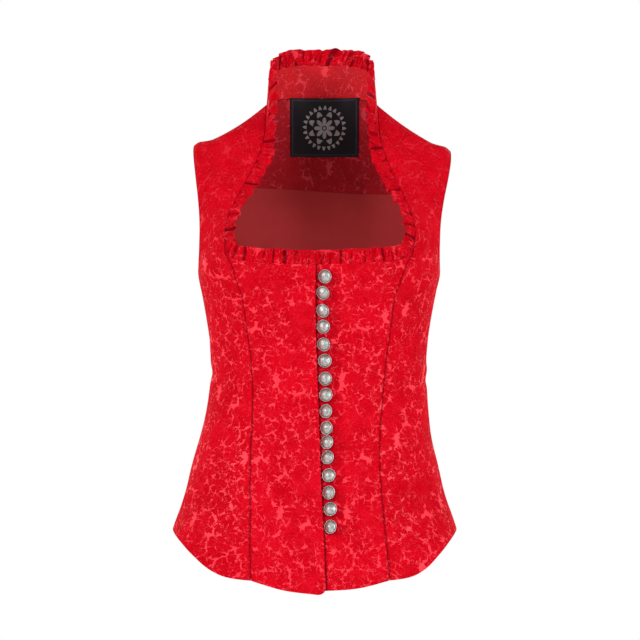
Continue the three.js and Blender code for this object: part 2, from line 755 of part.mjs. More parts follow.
// A cord that leaves the right front's edge, lies on the left front, turns round the shank and goes back.
function loopGeometry(x, z) {
  const turn = BUTTON.shank + LOOP.clear + LOOP.radius;
  const at = (dx, dz) => {
    const spot = spotOn(frontLeft, leftNormals, x + dx, z + dz);
    return spot.point.addScaledVector(spot.normal, LOOP.radius + LAYER_GAP);
  };
  const bend = [90, 45, 0, -45, -90].map((degrees) => {
    const angle = THREE.MathUtils.degToRad(degrees);
    return at(turn * Math.cos(angle), turn * Math.sin(angle));
  });
  const reach = LOOP.clear - BUTTON.fromEdge;
  const path = new THREE.CatmullRomCurve3([at(reach, turn * 0.7), ...bend, at(reach, -turn * 0.7)]);
  const section = new THREE.Shape(
    evenShares(LOOP.sides).slice(1).map((share) => {
      const angle = share * 2 * Math.PI;
      return new THREE.Vector2(LOOP.radius * Math.cos(angle), LOOP.radius * Math.sin(angle));
    }),
  );
  return new THREE.ExtrudeGeometry(section, { steps: LOOP.steps, extrudePath: path, curveSegments: 1 });
}

const dome = buttonGeometry();
const leftNormals = frontLeft.map((row) => row.map((point) => normalOf.get(keyOf(point))));
HAND_SEWN.forEach((shift, i) => {
  const z = FIRST_BUTTON - BUTTON_PITCH * i + shift;
  const x = closing(z) + BUTTON.fromEdge;
  const spot = spotOn(frontLeft, leftNormals, x, z);
  const number = String(i + 1).padStart(2, "0");
  const button = add(`button_${number}`, dome, pewter);
  button.position.copy(spot.point).addScaledVector(spot.normal, LAYER_GAP);
  button.quaternion.setFromUnitVectors(new THREE.Vector3(0, 1, 0), spot.normal);
  add(`loop_${number}`, loopGeometry(x, z), cord);
});

export default bodice;
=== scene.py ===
import math

import bpy
import numpy as np
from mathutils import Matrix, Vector


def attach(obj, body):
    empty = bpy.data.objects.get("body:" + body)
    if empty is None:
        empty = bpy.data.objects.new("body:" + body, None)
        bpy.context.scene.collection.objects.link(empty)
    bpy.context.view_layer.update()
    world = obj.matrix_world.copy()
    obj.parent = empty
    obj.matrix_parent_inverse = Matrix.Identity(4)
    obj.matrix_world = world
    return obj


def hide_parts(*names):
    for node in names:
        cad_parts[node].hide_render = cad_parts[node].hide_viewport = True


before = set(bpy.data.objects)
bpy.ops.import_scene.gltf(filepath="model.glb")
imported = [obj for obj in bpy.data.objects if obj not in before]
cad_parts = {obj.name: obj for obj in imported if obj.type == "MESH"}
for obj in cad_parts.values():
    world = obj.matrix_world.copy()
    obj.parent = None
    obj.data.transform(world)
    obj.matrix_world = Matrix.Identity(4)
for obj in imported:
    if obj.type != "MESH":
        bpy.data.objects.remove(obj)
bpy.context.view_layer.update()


# %% [markdown]
# The bodice is a figure-shaped tube of cloth. Its shape is in a few tables: level sections of the figure, the
# curved seams, the hem and the top edges. They are the same sizes as in the rigid model, in millimetres, so
# each cloth shell lies on its solid. A cubic curve through each column gives every size in between.

# %% Curves through small tables
def table(names, rows):
    return {key: np.array(column, float) for key, column in zip(names.split(), zip(*rows))}


def through(rows, at, value):
    xs, ys = rows[at], rows[value]
    last = len(xs) - 1
    before = np.maximum(np.arange(last + 1) - 1, 0)
    after = np.minimum(np.arange(last + 1) + 1, last)
    slopes = (ys[after] - ys[before]) / (xs[after] - xs[before])

    def curve(x):
        x = np.asarray(x, float)
        i = np.clip(np.searchsorted(xs, x) - 1, 0, last - 1)
        span = xs[i + 1] - xs[i]
        t = np.clip((x - xs[i]) / span, 0, 1)
        rise = 3 * t**2 - 2 * t**3
        ends = (t**3 - 2 * t**2 + t) * slopes[i] + (t**3 - t**2) * slopes[i + 1]
        return ys[i] * (1 - rise) + ys[i + 1] * rise + ends * span

    return curve


def smoothstep(x, low, high):
    t = np.clip((x - low) / (high - low), 0, 1)
    return t * t * (3 - 2 * t)


def lerp(a, b, t):
    return a + (b - a) * t


def lengths(v):
    return np.linalg.norm(v, axis=-1)


def unit(v):
    return v / np.maximum(lengths(v), 1e-9)[..., None]


def walked(line):
    """The distance along a line of points, from its start to each of them."""
    return np.concatenate([[0], np.cumsum(lengths(np.diff(line, axis=0)))])


def read_at(s, at, values):
    """Points or directions, known at the distances `at`, read off at the distances `s`."""
    return np.stack([np.interp(s, at, column) for column in values.T], axis=1)


print("a soft step at a quarter, half and three quarters:", smoothstep(np.array([0.25, 0.5, 0.75]), 0, 1))


# %% The figure: sections, stance and seams
SECTIONS = table("z half_width front back", [
    (-560, 192, 114, 133), (-520, 184, 113, 131), (-482, 172.6, 112, 127), (-443, 158.6, 107.5, 118),
    (-404, 149.5, 101.5, 107), (-365, 139.7, 96, 94), (-326, 133.6, 92.5, 84), (-287, 131, 92, 80),
    (-258, 132.5, 94.5, 82), (-228, 137, 101, 88), (-200, 142, 108, 95), (-174, 147, 114, 100),
    (-142, 146.5, 114.5, 103), (-108, 146, 111, 104),
])
FRONT_POWER, BACK_POWER = 2.6, 2.7
BUST = dict(x=74, z=-188, spread_x=34, spread_z=36, rise=9)
LEAN = table("z x", [
    (-560, -5.7), (-470, -5.5), (-384, -4.6), (-340, -2.3), (-290, -0.6), (-170, -0.2), (-111, 1.4),
    (-72, 2.6), (-33, 3.8), (45, 3.4), (115, 3),
])
ROLL = dict(rise=3.4, reach=157, bottom=-140, top=-30)
FRONT_SEAM = table("z x", [
    (-560, 82), (-505, 81), (-451, 78), (-383, 76.5), (-331, 77), (-280, 80), (-242, 85), (-203, 90),
    (-186, 96), (-165, 103), (-152, 110), (-131, 113.2),
])
SEAM_SWAY = table("z x", [(-560, 8), (-520, 6.3), (-490, 4.5), (-455, 2.8), (-425, 1.2), (-385, 0)])
BACK_SEAM = table("z x", [
    (-560, 74), (-450, 66), (-360, 58), (-287, 56), (-240, 61), (-200, 73), (-165, 95), (-135, 117),
    (-108, 137.2),
])
HEM = table("station z", [
    (0, -549), (0.55, -546), (1, -537), (1.15, -533), (1.26, -525), (1.42, -509), (1.6, -495), (1.8, -486),
    (2, -483), (2.4, -488), (3, -496), (4, -505),
])
TOP = table("station z", [
    (0, -164.5), (0.2, -163.6), (0.72, -160.8), (0.885, -157.4), (0.965, -152.8), (0.99, -142), (1, -131),
    (1.5, -154), (2, -176), (2.07, -173), (2.2, -165), (2.4, -150), (2.53, -137), (2.73, -120), (3, -108),
    (4, -108),
])
CLOSING = table("z x", [
    (-560, 8.5), (-460, 4.5), (-420, 2.5), (-360, 0.5), (-330, -0.5), (-230, -4), (-160, -3.5),
])
half_width = through(SECTIONS, "z", "half_width")
front_depth = through(SECTIONS, "z", "front")
back_depth = through(SECTIONS, "z", "back")
lean = through(LEAN, "z", "x")
seam_distance = through(FRONT_SEAM, "z", "x")
seam_sway = through(SEAM_SWAY, "z", "x")
back_seam = through(BACK_SEAM, "z", "x")
hem_height = through(HEM, "station", "z")
top_height = through(TOP, "station", "z")
closing = through(CLOSING, "z", "x")


def front_seam(side, z):
    return seam_distance(z) + side * seam_sway(z)


def place(side, x, y, z):
    x, y, z = np.broadcast_arrays(x, y, z)
    roll = ROLL["rise"] * (x / ROLL["reach"]) ** 3 * smoothstep(z, ROLL["bottom"], ROLL["top"])
    return np.stack([side * x + lean(z), y, z - side * roll], axis=-1)


def front_y(x, z):
    out = np.minimum(np.abs(x) / half_width(z), 1)
    across = (np.abs(x) - BUST["x"]) / BUST["spread_x"]
    up = (z - BUST["z"]) / BUST["spread_z"]
    bust = BUST["rise"] * np.exp(-(across**2 + up**2) / 2)
    return -(front_depth(z) + bust) * (1 - out**FRONT_POWER) ** (1 / FRONT_POWER)


def back_y(x, z):
    out = np.minimum(np.abs(x) / half_width(z), 1)
    return back_depth(z) * (1 - out**BACK_POWER) ** (1 / BACK_POWER)


def between(start, end, share, z, power):
    half = half_width(z)
    first = np.arcsin(np.minimum(start / half, 1) ** (power / 2))
    final = np.arcsin(np.minimum(end / half, 1) ** (power / 2))
    return half * np.sin(lerp(first, final, share)) ** (2 / power)


def row_height(panel, share, up, drop=0.0):
    straight = lerp(top_height(panel), top_height(panel + 1), share)
    bend = top_height(panel + share) - straight
    return lerp(hem_height(panel + share) - drop, straight, up) + bend * up**5


print("waist half width", float(half_width(-287)), "mm")

# %% [markdown]
# A maker cuts the bodice from flat panels: two centre fronts, two side fronts that run up over the shoulder as
# straps, two side backs and two centre backs. Each is a grid of points here, rows going up and columns going
# round. The straps and the back yoke follow rows of guide points, with a Catmull-Rom curve up each column.

# %% The panels as grids of points
FRONT_YOKE = [
    ((112.5, -86, -119), (135.5, -60.5, -142), (146.3, -23, -165)),
    ((107.5, -81.5, -99), (129.5, -69, -119), (145, -44, -143)),
    ((99, -74, -81), (125, -65, -96), (145.5, -46, -113)),
    ((89, -62.5, -61), (121, -55, -70), (149, -38, -83)),
    ((78.5, -45.5, -37), (117.5, -40.5, -43), (154, -24, -54)),
    ((71, -28.5, -14), (114.5, -24, -21.5), (157, -10, -34)),
    ((68.5, -12, 12), (112.5, -9, -3.8), (157.5, -1, -25)),
    ((67.5, 5, 34), (112, 5, 1.2), (157, 6, -21)),
]
BACK_YOKE = [
    ((0, 102, -67), (78, 91.5, -68), (113.5, 73.5, -72), (140, 47, -83)),
    ((0, 94, -22), (73, 77, -26), (112, 59, -38), (146, 36, -57)),
    ((0, 84, 17), (69, 47, 13), (112, 34, -10), (153, 20, -35)),
]
NECK_SEAM = table("share x y z", [
    (0, 0, 71, 47), (0.3, 27, 67, 46.5), (0.6, 48, 53, 44), (0.82, 60.5, 32, 40), (1, 67.5, 5, 34),
])
NECK_SHARE, NECK_STEPS = 0.4, 21
ROWS = 112
KNEE = 1 - 1 / 14  # the row below a panel's top from which its strap takes its direction
STRAP_STEPS = 8
COLLAR_STEPS = 2 * STRAP_STEPS
UNDERLAP = 11
OVERLAP_RISE, OVERLAP_RISEN = 2.6, 12
HEM_DROP, HEM_CORNER = 5, 9
UPS = np.linspace(0, 1, ROWS + 1)


def run_on(stations, steps):
    """Rows on a centripetal Catmull-Rom curve up each column, from the second station to the last."""
    p = np.stack(stations)
    p = np.concatenate([2 * p[:1] - p[1:2], p, 2 * p[-1:] - p[-2:-1]])
    rows = []
    for k in range(2, len(p) - 2):
        a, b, c, d = p[k - 1 : k + 3]
        d0, d1, d2 = (np.sqrt(lengths(v))[..., None] for v in (b - a, c - b, d - c))
        leave = ((b - a) / d0 - (c - a) / (d0 + d1) + (c - b) / d1) * d1
        arrive = ((c - b) / d1 - (d - b) / (d1 + d2) + (d - c) / d2) * d1
        for t in np.arange(1, steps + 1) / steps:
            square, cube = -3 * b + 3 * c - 2 * leave - arrive, 2 * b - 2 * c + leave + arrive
            rows.append(b + leave * t + square * t**2 + cube * t**3)
    return rows


def left_front(shares):
    def rows(up):
        z = row_height(0, shares, up)
        x = lerp(closing(z) - lean(z) - UNDERLAP, front_seam(1, z), shares)
        return place(1, x, front_y(x, z), z)

    return rows(UPS[:, None])


def right_front(shares):
    corner = np.maximum(HEM_CORNER - shares * front_seam(-1, hem_height(0)), 0)
    drop = HEM_DROP * (1 - shares) - (HEM_CORNER - np.sqrt(HEM_CORNER**2 - corner**2))
    z = row_height(0, shares, UPS[:, None], drop)
    x = lerp(lean(z) - closing(z), front_seam(-1, z), shares)
    inside = x - lean(z) + closing(z)
    rise = OVERLAP_RISE * (1 - smoothstep(inside, OVERLAP_RISEN, 2 * OVERLAP_RISEN))
    return place(-1, x, front_y(x, z) - rise, z)


def strap_row(side, guide, share):
    neck, middle, arm = (np.array(p, float) for p in guide)
    s = np.asarray(share)[..., None]
    p = neck * (1 - s) * (1 - 2 * s) + middle * 4 * s * (1 - s) + arm * s * (2 * s - 1)
    return place(side, p[..., 0], p[..., 1], p[..., 2])


def side_front(side, shares):
    def lower(up):
        z = row_height(1, shares, up)
        x = between(front_seam(side, z), half_width(z), shares, z, FRONT_POWER)
        return place(side, x, front_y(x, z), z)

    strap = [strap_row(side, guide, shares) for guide in FRONT_YOKE]
    body = lower(UPS[:, None])
    return np.concatenate([body, run_on([lower(KNEE), body[-1], *strap], STRAP_STEPS)])


def side_back(side, shares):
    z = row_height(2, shares, UPS[:, None])
    x = between(half_width(z), back_seam(z), shares, z, BACK_POWER)
    return place(side, x, back_y(x, z), z)


def on_curve(side, rows, share):
    x, y, z = (through(rows, "share", axis)(share) for axis in "xyz")
    return place(side, x, y, z)


def back_top(side, shares):
    neck = on_curve(side, NECK_SEAM, np.minimum(shares / NECK_SHARE, 1))
    shoulder = strap_row(side, FRONT_YOKE[-1], np.maximum(shares - NECK_SHARE, 0) / (1 - NECK_SHARE))
    return np.where((shares > NECK_SHARE)[:, None], shoulder, neck)


def back_guide(side, points, shares):
    centre, neck, middle, arm = points
    at = (-NECK_SHARE, 0, NECK_SHARE, (1 + NECK_SHARE) / 2, 1)
    spots = ((-neck[0], *neck[1:]), centre, neck, middle, arm)
    return on_curve(side, table("share x y z", [(s, *p) for s, p in zip(at, spots)]), shares)


def centre_back(side, shares):
    def lower(up):
        z = row_height(3, 1 - shares, up)
        x = between(0, back_seam(z), shares, z, BACK_POWER)
        return place(side, x, back_y(x, z), z)

    yoke = [back_guide(side, points, shares) for points in BACK_YOKE]
    body = lower(UPS[:, None])
    return np.concatenate([body, run_on([lower(KNEE), body[-1], *yoke, back_top(side, shares)], STRAP_STEPS)])


WIDE = np.linspace(0, 1, 41)
BACK_SHARES = np.concatenate([np.linspace(0, NECK_SHARE, NECK_STEPS), lerp(NECK_SHARE, 1, WIDE[1:])])
CLOSE = np.concatenate([np.linspace(0, 0.3, 19), np.linspace(0.3, 1, 29)[1:]])  # closer beside the buttons
grids = {"front_centre_right": right_front(CLOSE), "front_centre_left": left_front(CLOSE)}
for hand, side in (("right", -1), ("left", 1)):
    grids[f"side_front_{hand}"] = side_front(side, WIDE)
    grids[f"side_back_{hand}"] = side_back(side, WIDE)
    grids[f"centre_back_{hand}"] = centre_back(side, BACK_SHARES)
for name, points in grids.items():
    print(name, points.shape[:2])

# %% [markdown]
# The stand collar is one curved band. Its lower edge is sewn to the back neck and then to the inner edge of
# each strap, and it narrows to nothing where it runs down the front.

# %% The collar
COLLAR_EDGE = table("at x y z", [
    (0, 0, 81, 89), (1, 28, 77, 88.5), (2, 48.5, 62, 84.5), (3, 59.5, 40, 78.5), (4, 64.5, 15, 72),
    (5, 64.5, -2, 52), (6, 64.5, -13, 29), (7, 66.5, -21, 8), (8, 69, -27, -7),
])
COLLAR_ROWS = 12


def collar_half(side, strap):
    neck = back_top(side, np.linspace(0, NECK_SHARE, NECK_STEPS))
    foot = np.concatenate([neck, strap[-2 : -2 - COLLAR_STEPS : -1, 0]])
    at = np.concatenate([np.linspace(0, 4, NECK_STEPS), 4 + np.arange(1, COLLAR_STEPS + 1) / STRAP_STEPS * 2])
    x, y, z = (through(COLLAR_EDGE, "at", axis)(at) for axis in "xyz")
    head = place(side, x, y, z)
    return lerp(foot, head, np.linspace(0, 1, COLLAR_ROWS + 1)[:, None, None])


right_half = collar_half(-1, grids["side_front_right"])
left_half = collar_half(1, grids["side_front_left"])
grids["collar_stand"] = np.concatenate([right_half[:, ::-1], left_half[:, 1:]], axis=1)
print("collar", grids["collar_stand"].shape[:2])

# %% [markdown]
# The strap's cloth is stiff with interlining, so its outer corner doesn't lie down on the arm. It stands up a
# few millimetres and is rounded at the very tip. That is easier to add here, to the finished grids, than to
# work into every row of guide points.

# %% Lift the straps a little at the shoulder tips and round them off
TIP_LIFT, TIP_ROUND = 4.4, 3
LIFT_ACROSS, ROUND_ACROSS, LIFT_UP = (131, 156), (150, 158), (-75, -25)
for points in grids.values():
    from_middle = np.abs(points[..., 0] - lean(points[..., 2]))
    lift = TIP_LIFT * smoothstep(from_middle, *LIFT_ACROSS) - TIP_ROUND * smoothstep(from_middle, *ROUND_ACROSS)
    points[..., 2] += lift * smoothstep(points[..., 2], *LIFT_UP)
print("shoulder tip:", grids["side_front_left"][-1, -1].round(1))

# %% [markdown]
# Worn cloth is never as smooth as its pattern. The waist is taken in, so short soft troughs lie across the side
# and the small of the back; the closing pulls at the bust; and the straps drag a little towards the armholes.
# Each crease is one row of a table: where it starts and ends round the body (0 is the centre front, 1 the
# front seam, 2 the side, 3 the back seam, 4 the centre back) and up the body, its width and its depth.

# %% Creases listed one by one
CREASE_ROW = "start bottom end top width depth"
CREASES = {"right": table(CREASE_ROW, [
    (1.15, -262, 1.95, -283, 7, 1.5), (1.35, -300, 2.2, -297, 8, 1.8), (1.05, -322, 1.7, -312, 6, 1.2),
    (0.25, -292, 0.8, -303, 7, 0.9), (0.1, -232, 0.62, -212, 8, 1.1), (0.1, -352, 0.55, -371, 8, 0.8),
    (1.2, -170, 1.62, -139, 7, 1.4), (1.5, -196, 1.9, -176, 6, 1.1), (1.25, -420, 1.6, -470, 12, 1.3),
    (2.1, -287, 2.9, -276, 9, 1.9), (2.3, -314, 3.1, -322, 8, 1.6), (2.2, -190, 2.6, -168, 8, 1.5),
    (3.1, -262, 3.8, -270, 9, 1.5), (3.05, -300, 3.9, -294, 8, 1.9), (3.3, -340, 3.75, -352, 9, 1.2),
    (3.2, -120, 3.5, -150, 9, 1.1), (2.55, -400, 2.7, -470, 14, 1.6), (0.72, -420, 0.8, -500, 12, 1.0),
]), "left": table(CREASE_ROW, [
    (1.1, -270, 1.9, -277, 8, 1.7), (1.3, -309, 2.1, -304, 7, 1.5), (1.1, -336, 1.5, -330, 6, 1.0),
    (0.2, -268, 0.75, -283, 8, 1.0), (0.2, -240, 0.6, -219, 7, 0.9), (0.2, -330, 0.6, -318, 7, 0.8),
    (1.25, -163, 1.6, -136, 7, 1.2), (1.45, -203, 1.95, -186, 7, 1.3), (1.35, -430, 1.5, -486, 12, 1.4),
    (2.2, -281, 2.85, -290, 8, 1.6), (2.15, -306, 3.05, -310, 9, 1.8), (2.15, -196, 2.7, -160, 8, 1.4),
    (3.05, -274, 3.9, -262, 8, 1.6), (3.2, -304, 3.85, -312, 9, 1.7), (3.25, -150, 3.45, -112, 9, 1.0),
    (2.6, -410, 2.8, -480, 14, 1.5), (3.4, -420, 3.5, -490, 15, 1.3), (0.65, -440, 0.7, -515, 12, 0.9),
])}
STATION_WIDTH = 78
CREASE_BOW, CREASE_LIP = 5, 0.45
STRAIGHT_PART, END_FADE = 0.3, 0.16


def crease_depth(rows, station, z):
    depth = np.zeros_like(z)
    for start, bottom, end, top, width, deep in zip(*rows.values()):
        run = np.array([(end - start) * STATION_WIDTH, top - bottom])
        length = np.linalg.norm(run)
        dx, dz = (station - start) * STATION_WIDTH, z - bottom
        t = (dx * run[0] + dz * run[1]) / length**2
        off = (dz * run[0] - dx * run[1]) / length - CREASE_BOW * np.sin(np.clip(t, 0, 1) * math.pi)
        ends = np.exp(-((np.maximum(np.abs(t - 0.5) - STRAIGHT_PART, 0) / END_FADE) ** 2))
        lip = CREASE_LIP * np.exp(-(((off - 1.9 * width) / width) ** 2))
        depth += deep * ends * (np.exp(-((off / width) ** 2)) - lip)
    return depth


def ripple(a, b):
    """A slow uneven wave, so that no stretch of cloth is quite straight."""
    return (np.sin(a / 31 + 1.3 * np.sin(b / 47)) + np.sin(b / 23 + 1.7 * np.sin(a / 39 + 2)) * 0.8) * 0.3


print("creases:", {hand: len(rows["depth"]) for hand, rows in CREASES.items()})

# %% [markdown]
# A crease moves the cloth along its own normal. Two panels that meet must move alike, or the seam would open, so
# they share one normal at every common point.

# %% Press the creases into the panels
STATIONS = {"front_centre": CLOSE, "side_front": 1 + WIDE, "side_back": 2 + WIDE,
            "centre_back": 4 - BACK_SHARES}
STRAPS_START, STRAPS_CALM = -60, -10
SNAP, NUDGE = 20, 0.07  # points within a twentieth of a millimetre count as one


def outward_normals(points):
    normal = np.cross(np.gradient(points, axis=1), np.gradient(points, axis=0))
    return unit(normal * np.sign((normal[..., :2] * points[..., :2]).sum()))


def edge_spots(shape):
    """Row and column of each point on a grid's edge, once round it."""
    at = np.arange(shape[0] * shape[1]).reshape(shape[:2])
    round_it = np.concatenate([at[0], at[1:, -1], at[-1, -2::-1], at[-2:0:-1, 0]])
    return np.stack(np.divmod(round_it, shape[1]), axis=1)


def share_normals(points, normals):
    """Panels that meet get one normal at each common edge point, so that their walls line up at the seam."""
    sharers = {}
    for name, grid in points.items():
        for r, c in edge_spots(grid.shape):
            key = tuple(np.round(grid[r, c] * SNAP + NUDGE).astype(int))
            sharers.setdefault(key, []).append((name, r, c))
    for spots in sharers.values():
        mean = sum(normals[name][r, c] for name, r, c in spots)
        for name, r, c in spots:
            normals[name][r, c] = mean / np.linalg.norm(mean)


normals = {name: outward_normals(points) for name, points in grids.items()}
share_normals(grids, normals)
for name, points in grids.items():
    part, _, hand = name.rpartition("_")
    if part in STATIONS:
        station = np.broadcast_to(STATIONS[part], points.shape[:2])
        z = points[..., 2]
        depth = crease_depth(CREASES[hand], station, z)
        depth += ripple(station * STATION_WIDTH * (-1 if hand == "right" else 1), z)
        depth *= 1 - smoothstep(z, STRAPS_START, STRAPS_CALM)
        grids[name] = points - normals[name] * depth[..., None]
        print(name, "deepest crease", round(float(depth.max()), 2), "mm")

# %% [markdown]
# Sewn edges are turned in, so cloth ends in a soft round fold, never in a sharp cut. Each shell is a closed
# wall: an outer face of brocade, an inner face of lining and a half-round rim between them. At a seam the two
# rims lie against each other in a fine groove, and a painted shade along each seam edge darkens it into the
# dark line of a pressed-open seam.

# %% The cloth's own map and its edges
MM = 0.001
THICK = 1.8
RIM_STEPS = np.radians([30, 60, 90, 120, 150])
SEAM_SHADE = 0.74
SEAM_PRESS = 0.06
SIDES = {"bottom": (0, 1, 0), "top": (-1, -2, 0), "start": (0, 1, 1), "end": (-1, -2, 1)}


def on_side(side, step=0):
    """The index of a grid's edge row or column."""
    *lines, axis = SIDES[side]
    return (lines[step], slice(None)) if axis == 0 else (slice(None), lines[step])


def cloth_uv(points, grain_column, level):
    """Distances over the cloth in metres: across from the grain line, and up from a level line."""
    across = lengths(np.diff(points[..., :2], axis=1))
    u = np.concatenate([np.zeros((len(points), 1)), np.cumsum(across, axis=1)], axis=1)
    u -= u[:, grain_column : grain_column + 1]
    up = lengths(np.diff(points, axis=0))
    v = np.concatenate([np.zeros((1, points.shape[1])), np.cumsum(up, axis=0)])
    start = [np.interp(level, points[:, c, 2], v[:, c]) for c in range(points.shape[1])]
    return np.stack([u, v - np.array(start)], axis=-1) * MM


def parted(points, seams, roll):
    """Draws the edges back by their rim's radius; at seams a little less, so that two rims press together."""
    out = points.copy()
    for side in SIDES:
        step = unit(points[on_side(side, 1)] - points[on_side(side)])
        out[on_side(side)] += step * (roll - (SEAM_PRESS if side in seams else 0))
    return out


def make_mesh(name, verts, faces, materials, face_material=None, uv=None, painted_shade_and_highlight=None):
    mesh = bpy.data.meshes.new(name)
    mesh.from_pydata((np.asarray(verts) * MM).tolist(), [], np.asarray(faces).tolist())
    for material in materials:
        mesh.materials.append(material)
    if face_material is not None:
        mesh.polygons.foreach_set("material_index", np.asarray(face_material, dtype=np.int32))
    if uv is not None:
        layer = mesh.uv_layers.new(name="cloth")
        corner = np.empty(len(mesh.loops), dtype=np.int32)
        mesh.loops.foreach_get("vertex_index", corner)
        layer.data.foreach_set("uv", np.asarray(uv)[corner].ravel())
    # painted shade (above zero) and painted highlight (below zero) at each point, read by the brocade
    if painted_shade_and_highlight is not None:
        shade = mesh.attributes.new("painted_shade_and_highlight", "FLOAT", "POINT")
        shade.data.foreach_set("value", np.asarray(painted_shade_and_highlight, dtype=np.float32))
    mesh.shade_smooth()
    obj = bpy.data.objects.new(name, mesh)
    bpy.context.collection.objects.link(obj)
    return obj


print("rim:", len(RIM_STEPS), "steps round", THICK, "mm of cloth")


# %% Cloth shells with rolled edges
def shell(name, points, normal, uv, seams=(), materials=(), thickness=THICK, depth=0.0, painted_shade_and_highlight=None):
    """A closed wall inside a grid of points, with half-round rims; returns the object and its cloth area."""
    rows, columns = points.shape[:2]
    painted_shade_and_highlight = np.zeros((rows, columns)) if painted_shade_and_highlight is None else painted_shade_and_highlight
    # each seam edge gets a line of painted shade
    for side in seams:
        painted_shade_and_highlight[on_side(side)] = SEAM_SHADE
    half = thickness / 2
    sunk = points - normal * depth
    flat = parted(sunk, seams, half)
    edge = tuple(edge_spots(points.shape).T)
    away = unit((sunk - flat)[edge])
    at, out = flat[edge], normal[edge]
    rim = [at - out * half * (1 - math.cos(a)) + away * half * math.sin(a) for a in RIM_STEPS]
    verts = np.concatenate([flat.reshape(-1, 3), (flat - normal * thickness).reshape(-1, 3), *rim])
    index = np.arange(rows * columns).reshape(rows, columns)
    outer = np.stack([index[:-1, :-1], index[:-1, 1:], index[1:, 1:], index[1:, :-1]], axis=-1).reshape(-1, 4)
    inner = outer[:, ::-1] + rows * columns
    first = index[edge]
    ring = np.arange(len(first))
    steps = (2 * rows * columns + len(first) * k + ring for k in range(len(rim)))
    loops = [first, *steps, first + rows * columns]
    rims = [np.stack([a, b, np.roll(b, -1), np.roll(a, -1)], axis=-1) for a, b in zip(loops, loops[1:])]
    faces = np.concatenate([outer, inner, *rims])
    a, b, c = verts[faces[0, :3]]
    if np.dot(np.cross(b - a, c - a), normal[0, 0]) < 0:
        faces = faces[:, ::-1]
    kinds = np.zeros(len(faces))
    kinds[len(outer) : 2 * len(outer)] = len(materials) - 1
    uvs = np.concatenate([uv.reshape(-1, 2), uv.reshape(-1, 2), *[uv[edge]] * len(rim)])
    inner_painted_shade_and_highlight = painted_shade_and_highlight * (len(materials) == 1)
    shade = np.concatenate([painted_shade_and_highlight.ravel(), inner_painted_shade_and_highlight.ravel(), *[painted_shade_and_highlight[edge]] * len(rim)])
    piece = make_mesh(name, verts, faces, materials, kinds, uvs, shade)
    patches = np.cross(np.diff(points[:-1], axis=1), np.diff(points[:, :-1], axis=0))
    return piece, float(lengths(patches).sum()) * MM * MM


def as_cloth(piece, solid, area):
    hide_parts(solid)
    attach(piece, "root")
    print(f"{piece.name}: {area:.4f} m2, {len(piece.data.polygons)} faces")

# %% [markdown]
# Brocade is woven in one colour with two surfaces: a figure of matt weft and a ground of shiny warp satin. The
# two catch light differently, and here the satin is also painted a paler red, partly as a painted sheen; together
# these draw the pattern. Here the figure is an all-over pack of lobed flowers, set in a half-drop repeat as a
# weaver would plan it; the satin shows in the star-shaped gaps between.
# A picture could do this, but a table of flowers stays sharp at every distance and can be redrawn in one place.
# The helpers below let a formula be written with + - * / and still become nodes.

# %% Small helpers for shader nodes
TURN = 2 * math.pi


class Bench:
    """Holds the node tree that is being wired: each new group or material lays its own tree here."""

    tree = None


class Signal:
    """A node's output. A sign between two signals, or a signal and a number, places a Math node."""

    def __init__(self, socket):
        self.socket = socket

    __add__ = __radd__ = lambda a, b: calc("ADD", a, b)
    __mul__ = __rmul__ = lambda a, b: calc("MULTIPLY", a, b)
    __sub__ = lambda a, b: calc("SUBTRACT", a, b)
    __rsub__ = lambda a, b: calc("SUBTRACT", b, a)
    __truediv__ = lambda a, b: calc("DIVIDE", a, b)
    __abs__ = lambda a: calc("ABSOLUTE", a)


def link(value, socket):
    if isinstance(value, Signal):
        Bench.tree.links.new(value.socket, socket)
    else:
        socket.default_value = value


def signals(made):
    """A node's outputs, by number and by name."""
    found = {}
    for number, socket in enumerate(made.outputs):
        found[number] = Signal(socket)
        found.setdefault(socket.name, found[number])
    return found


def node(kind, inputs=(), **settings):
    made = Bench.tree.nodes.new(kind)
    for key, value in settings.items():
        setattr(made, key, value)
    for key, value in dict(inputs).items():
        link(value, made.inputs[key])
    return signals(made)


def calc(operation, *values):
    return node("ShaderNodeMath", dict(enumerate(values)), operation=operation)[0]


def highest(first, *others):
    for other in others:
        first = calc("MAXIMUM", first, other)
    return first


def vectors(operation, *values, **more):
    made = node("ShaderNodeVectorMath", {**dict(enumerate(values)), **more}, operation=operation)
    return made["Value" if operation == "LENGTH" else "Vector"]


def axes(vector):
    made = node("ShaderNodeSeparateXYZ", {0: vector})
    return made["X"], made["Y"], made["Z"]


def ramp(value, low, high, out_low=0.0, out_high=1.0):
    """A soft step from out_low, where the value is low, to out_high, where it is high."""
    sizes = {"Value": value, "From Min": low, "From Max": high, "To Min": out_low, "To Max": out_high}
    return node("ShaderNodeMapRange", sizes, interpolation_type="SMOOTHSTEP")["Result"]


def blend_color(share, a, b):
    return node("ShaderNodeMix", {0: share, 6: a, 7: b}, data_type="RGBA")[2]


def blend_value(share, a, b):
    return node("ShaderNodeMix", {0: share, 2: a, 3: b}, data_type="FLOAT")[0]


def noise(vector, scale, detail=2.0, rough=0.5, output="Fac"):
    sizes = {"Vector": vector, "Scale": scale, "Detail": detail, "Roughness": rough}
    return node("ShaderNodeTexNoise", sizes)[output]


def cloth_map():
    return node("ShaderNodeUVMap", uv_map="cloth")["UV"]


def object_spot():
    return node("ShaderNodeTexCoord")["Object"]


# %% Groups and materials
def new_group(name, inputs, outputs):
    tree = Bench.tree = bpy.data.node_groups.new(name, "ShaderNodeTree")
    for label, kind in inputs.items():
        tree.interface.new_socket(label, in_out="INPUT", socket_type=f"NodeSocket{kind}")
    for label in outputs:
        tree.interface.new_socket(label, in_out="OUTPUT", socket_type="NodeSocketFloat")
    return tree, signals(tree.nodes.new("NodeGroupInput"))


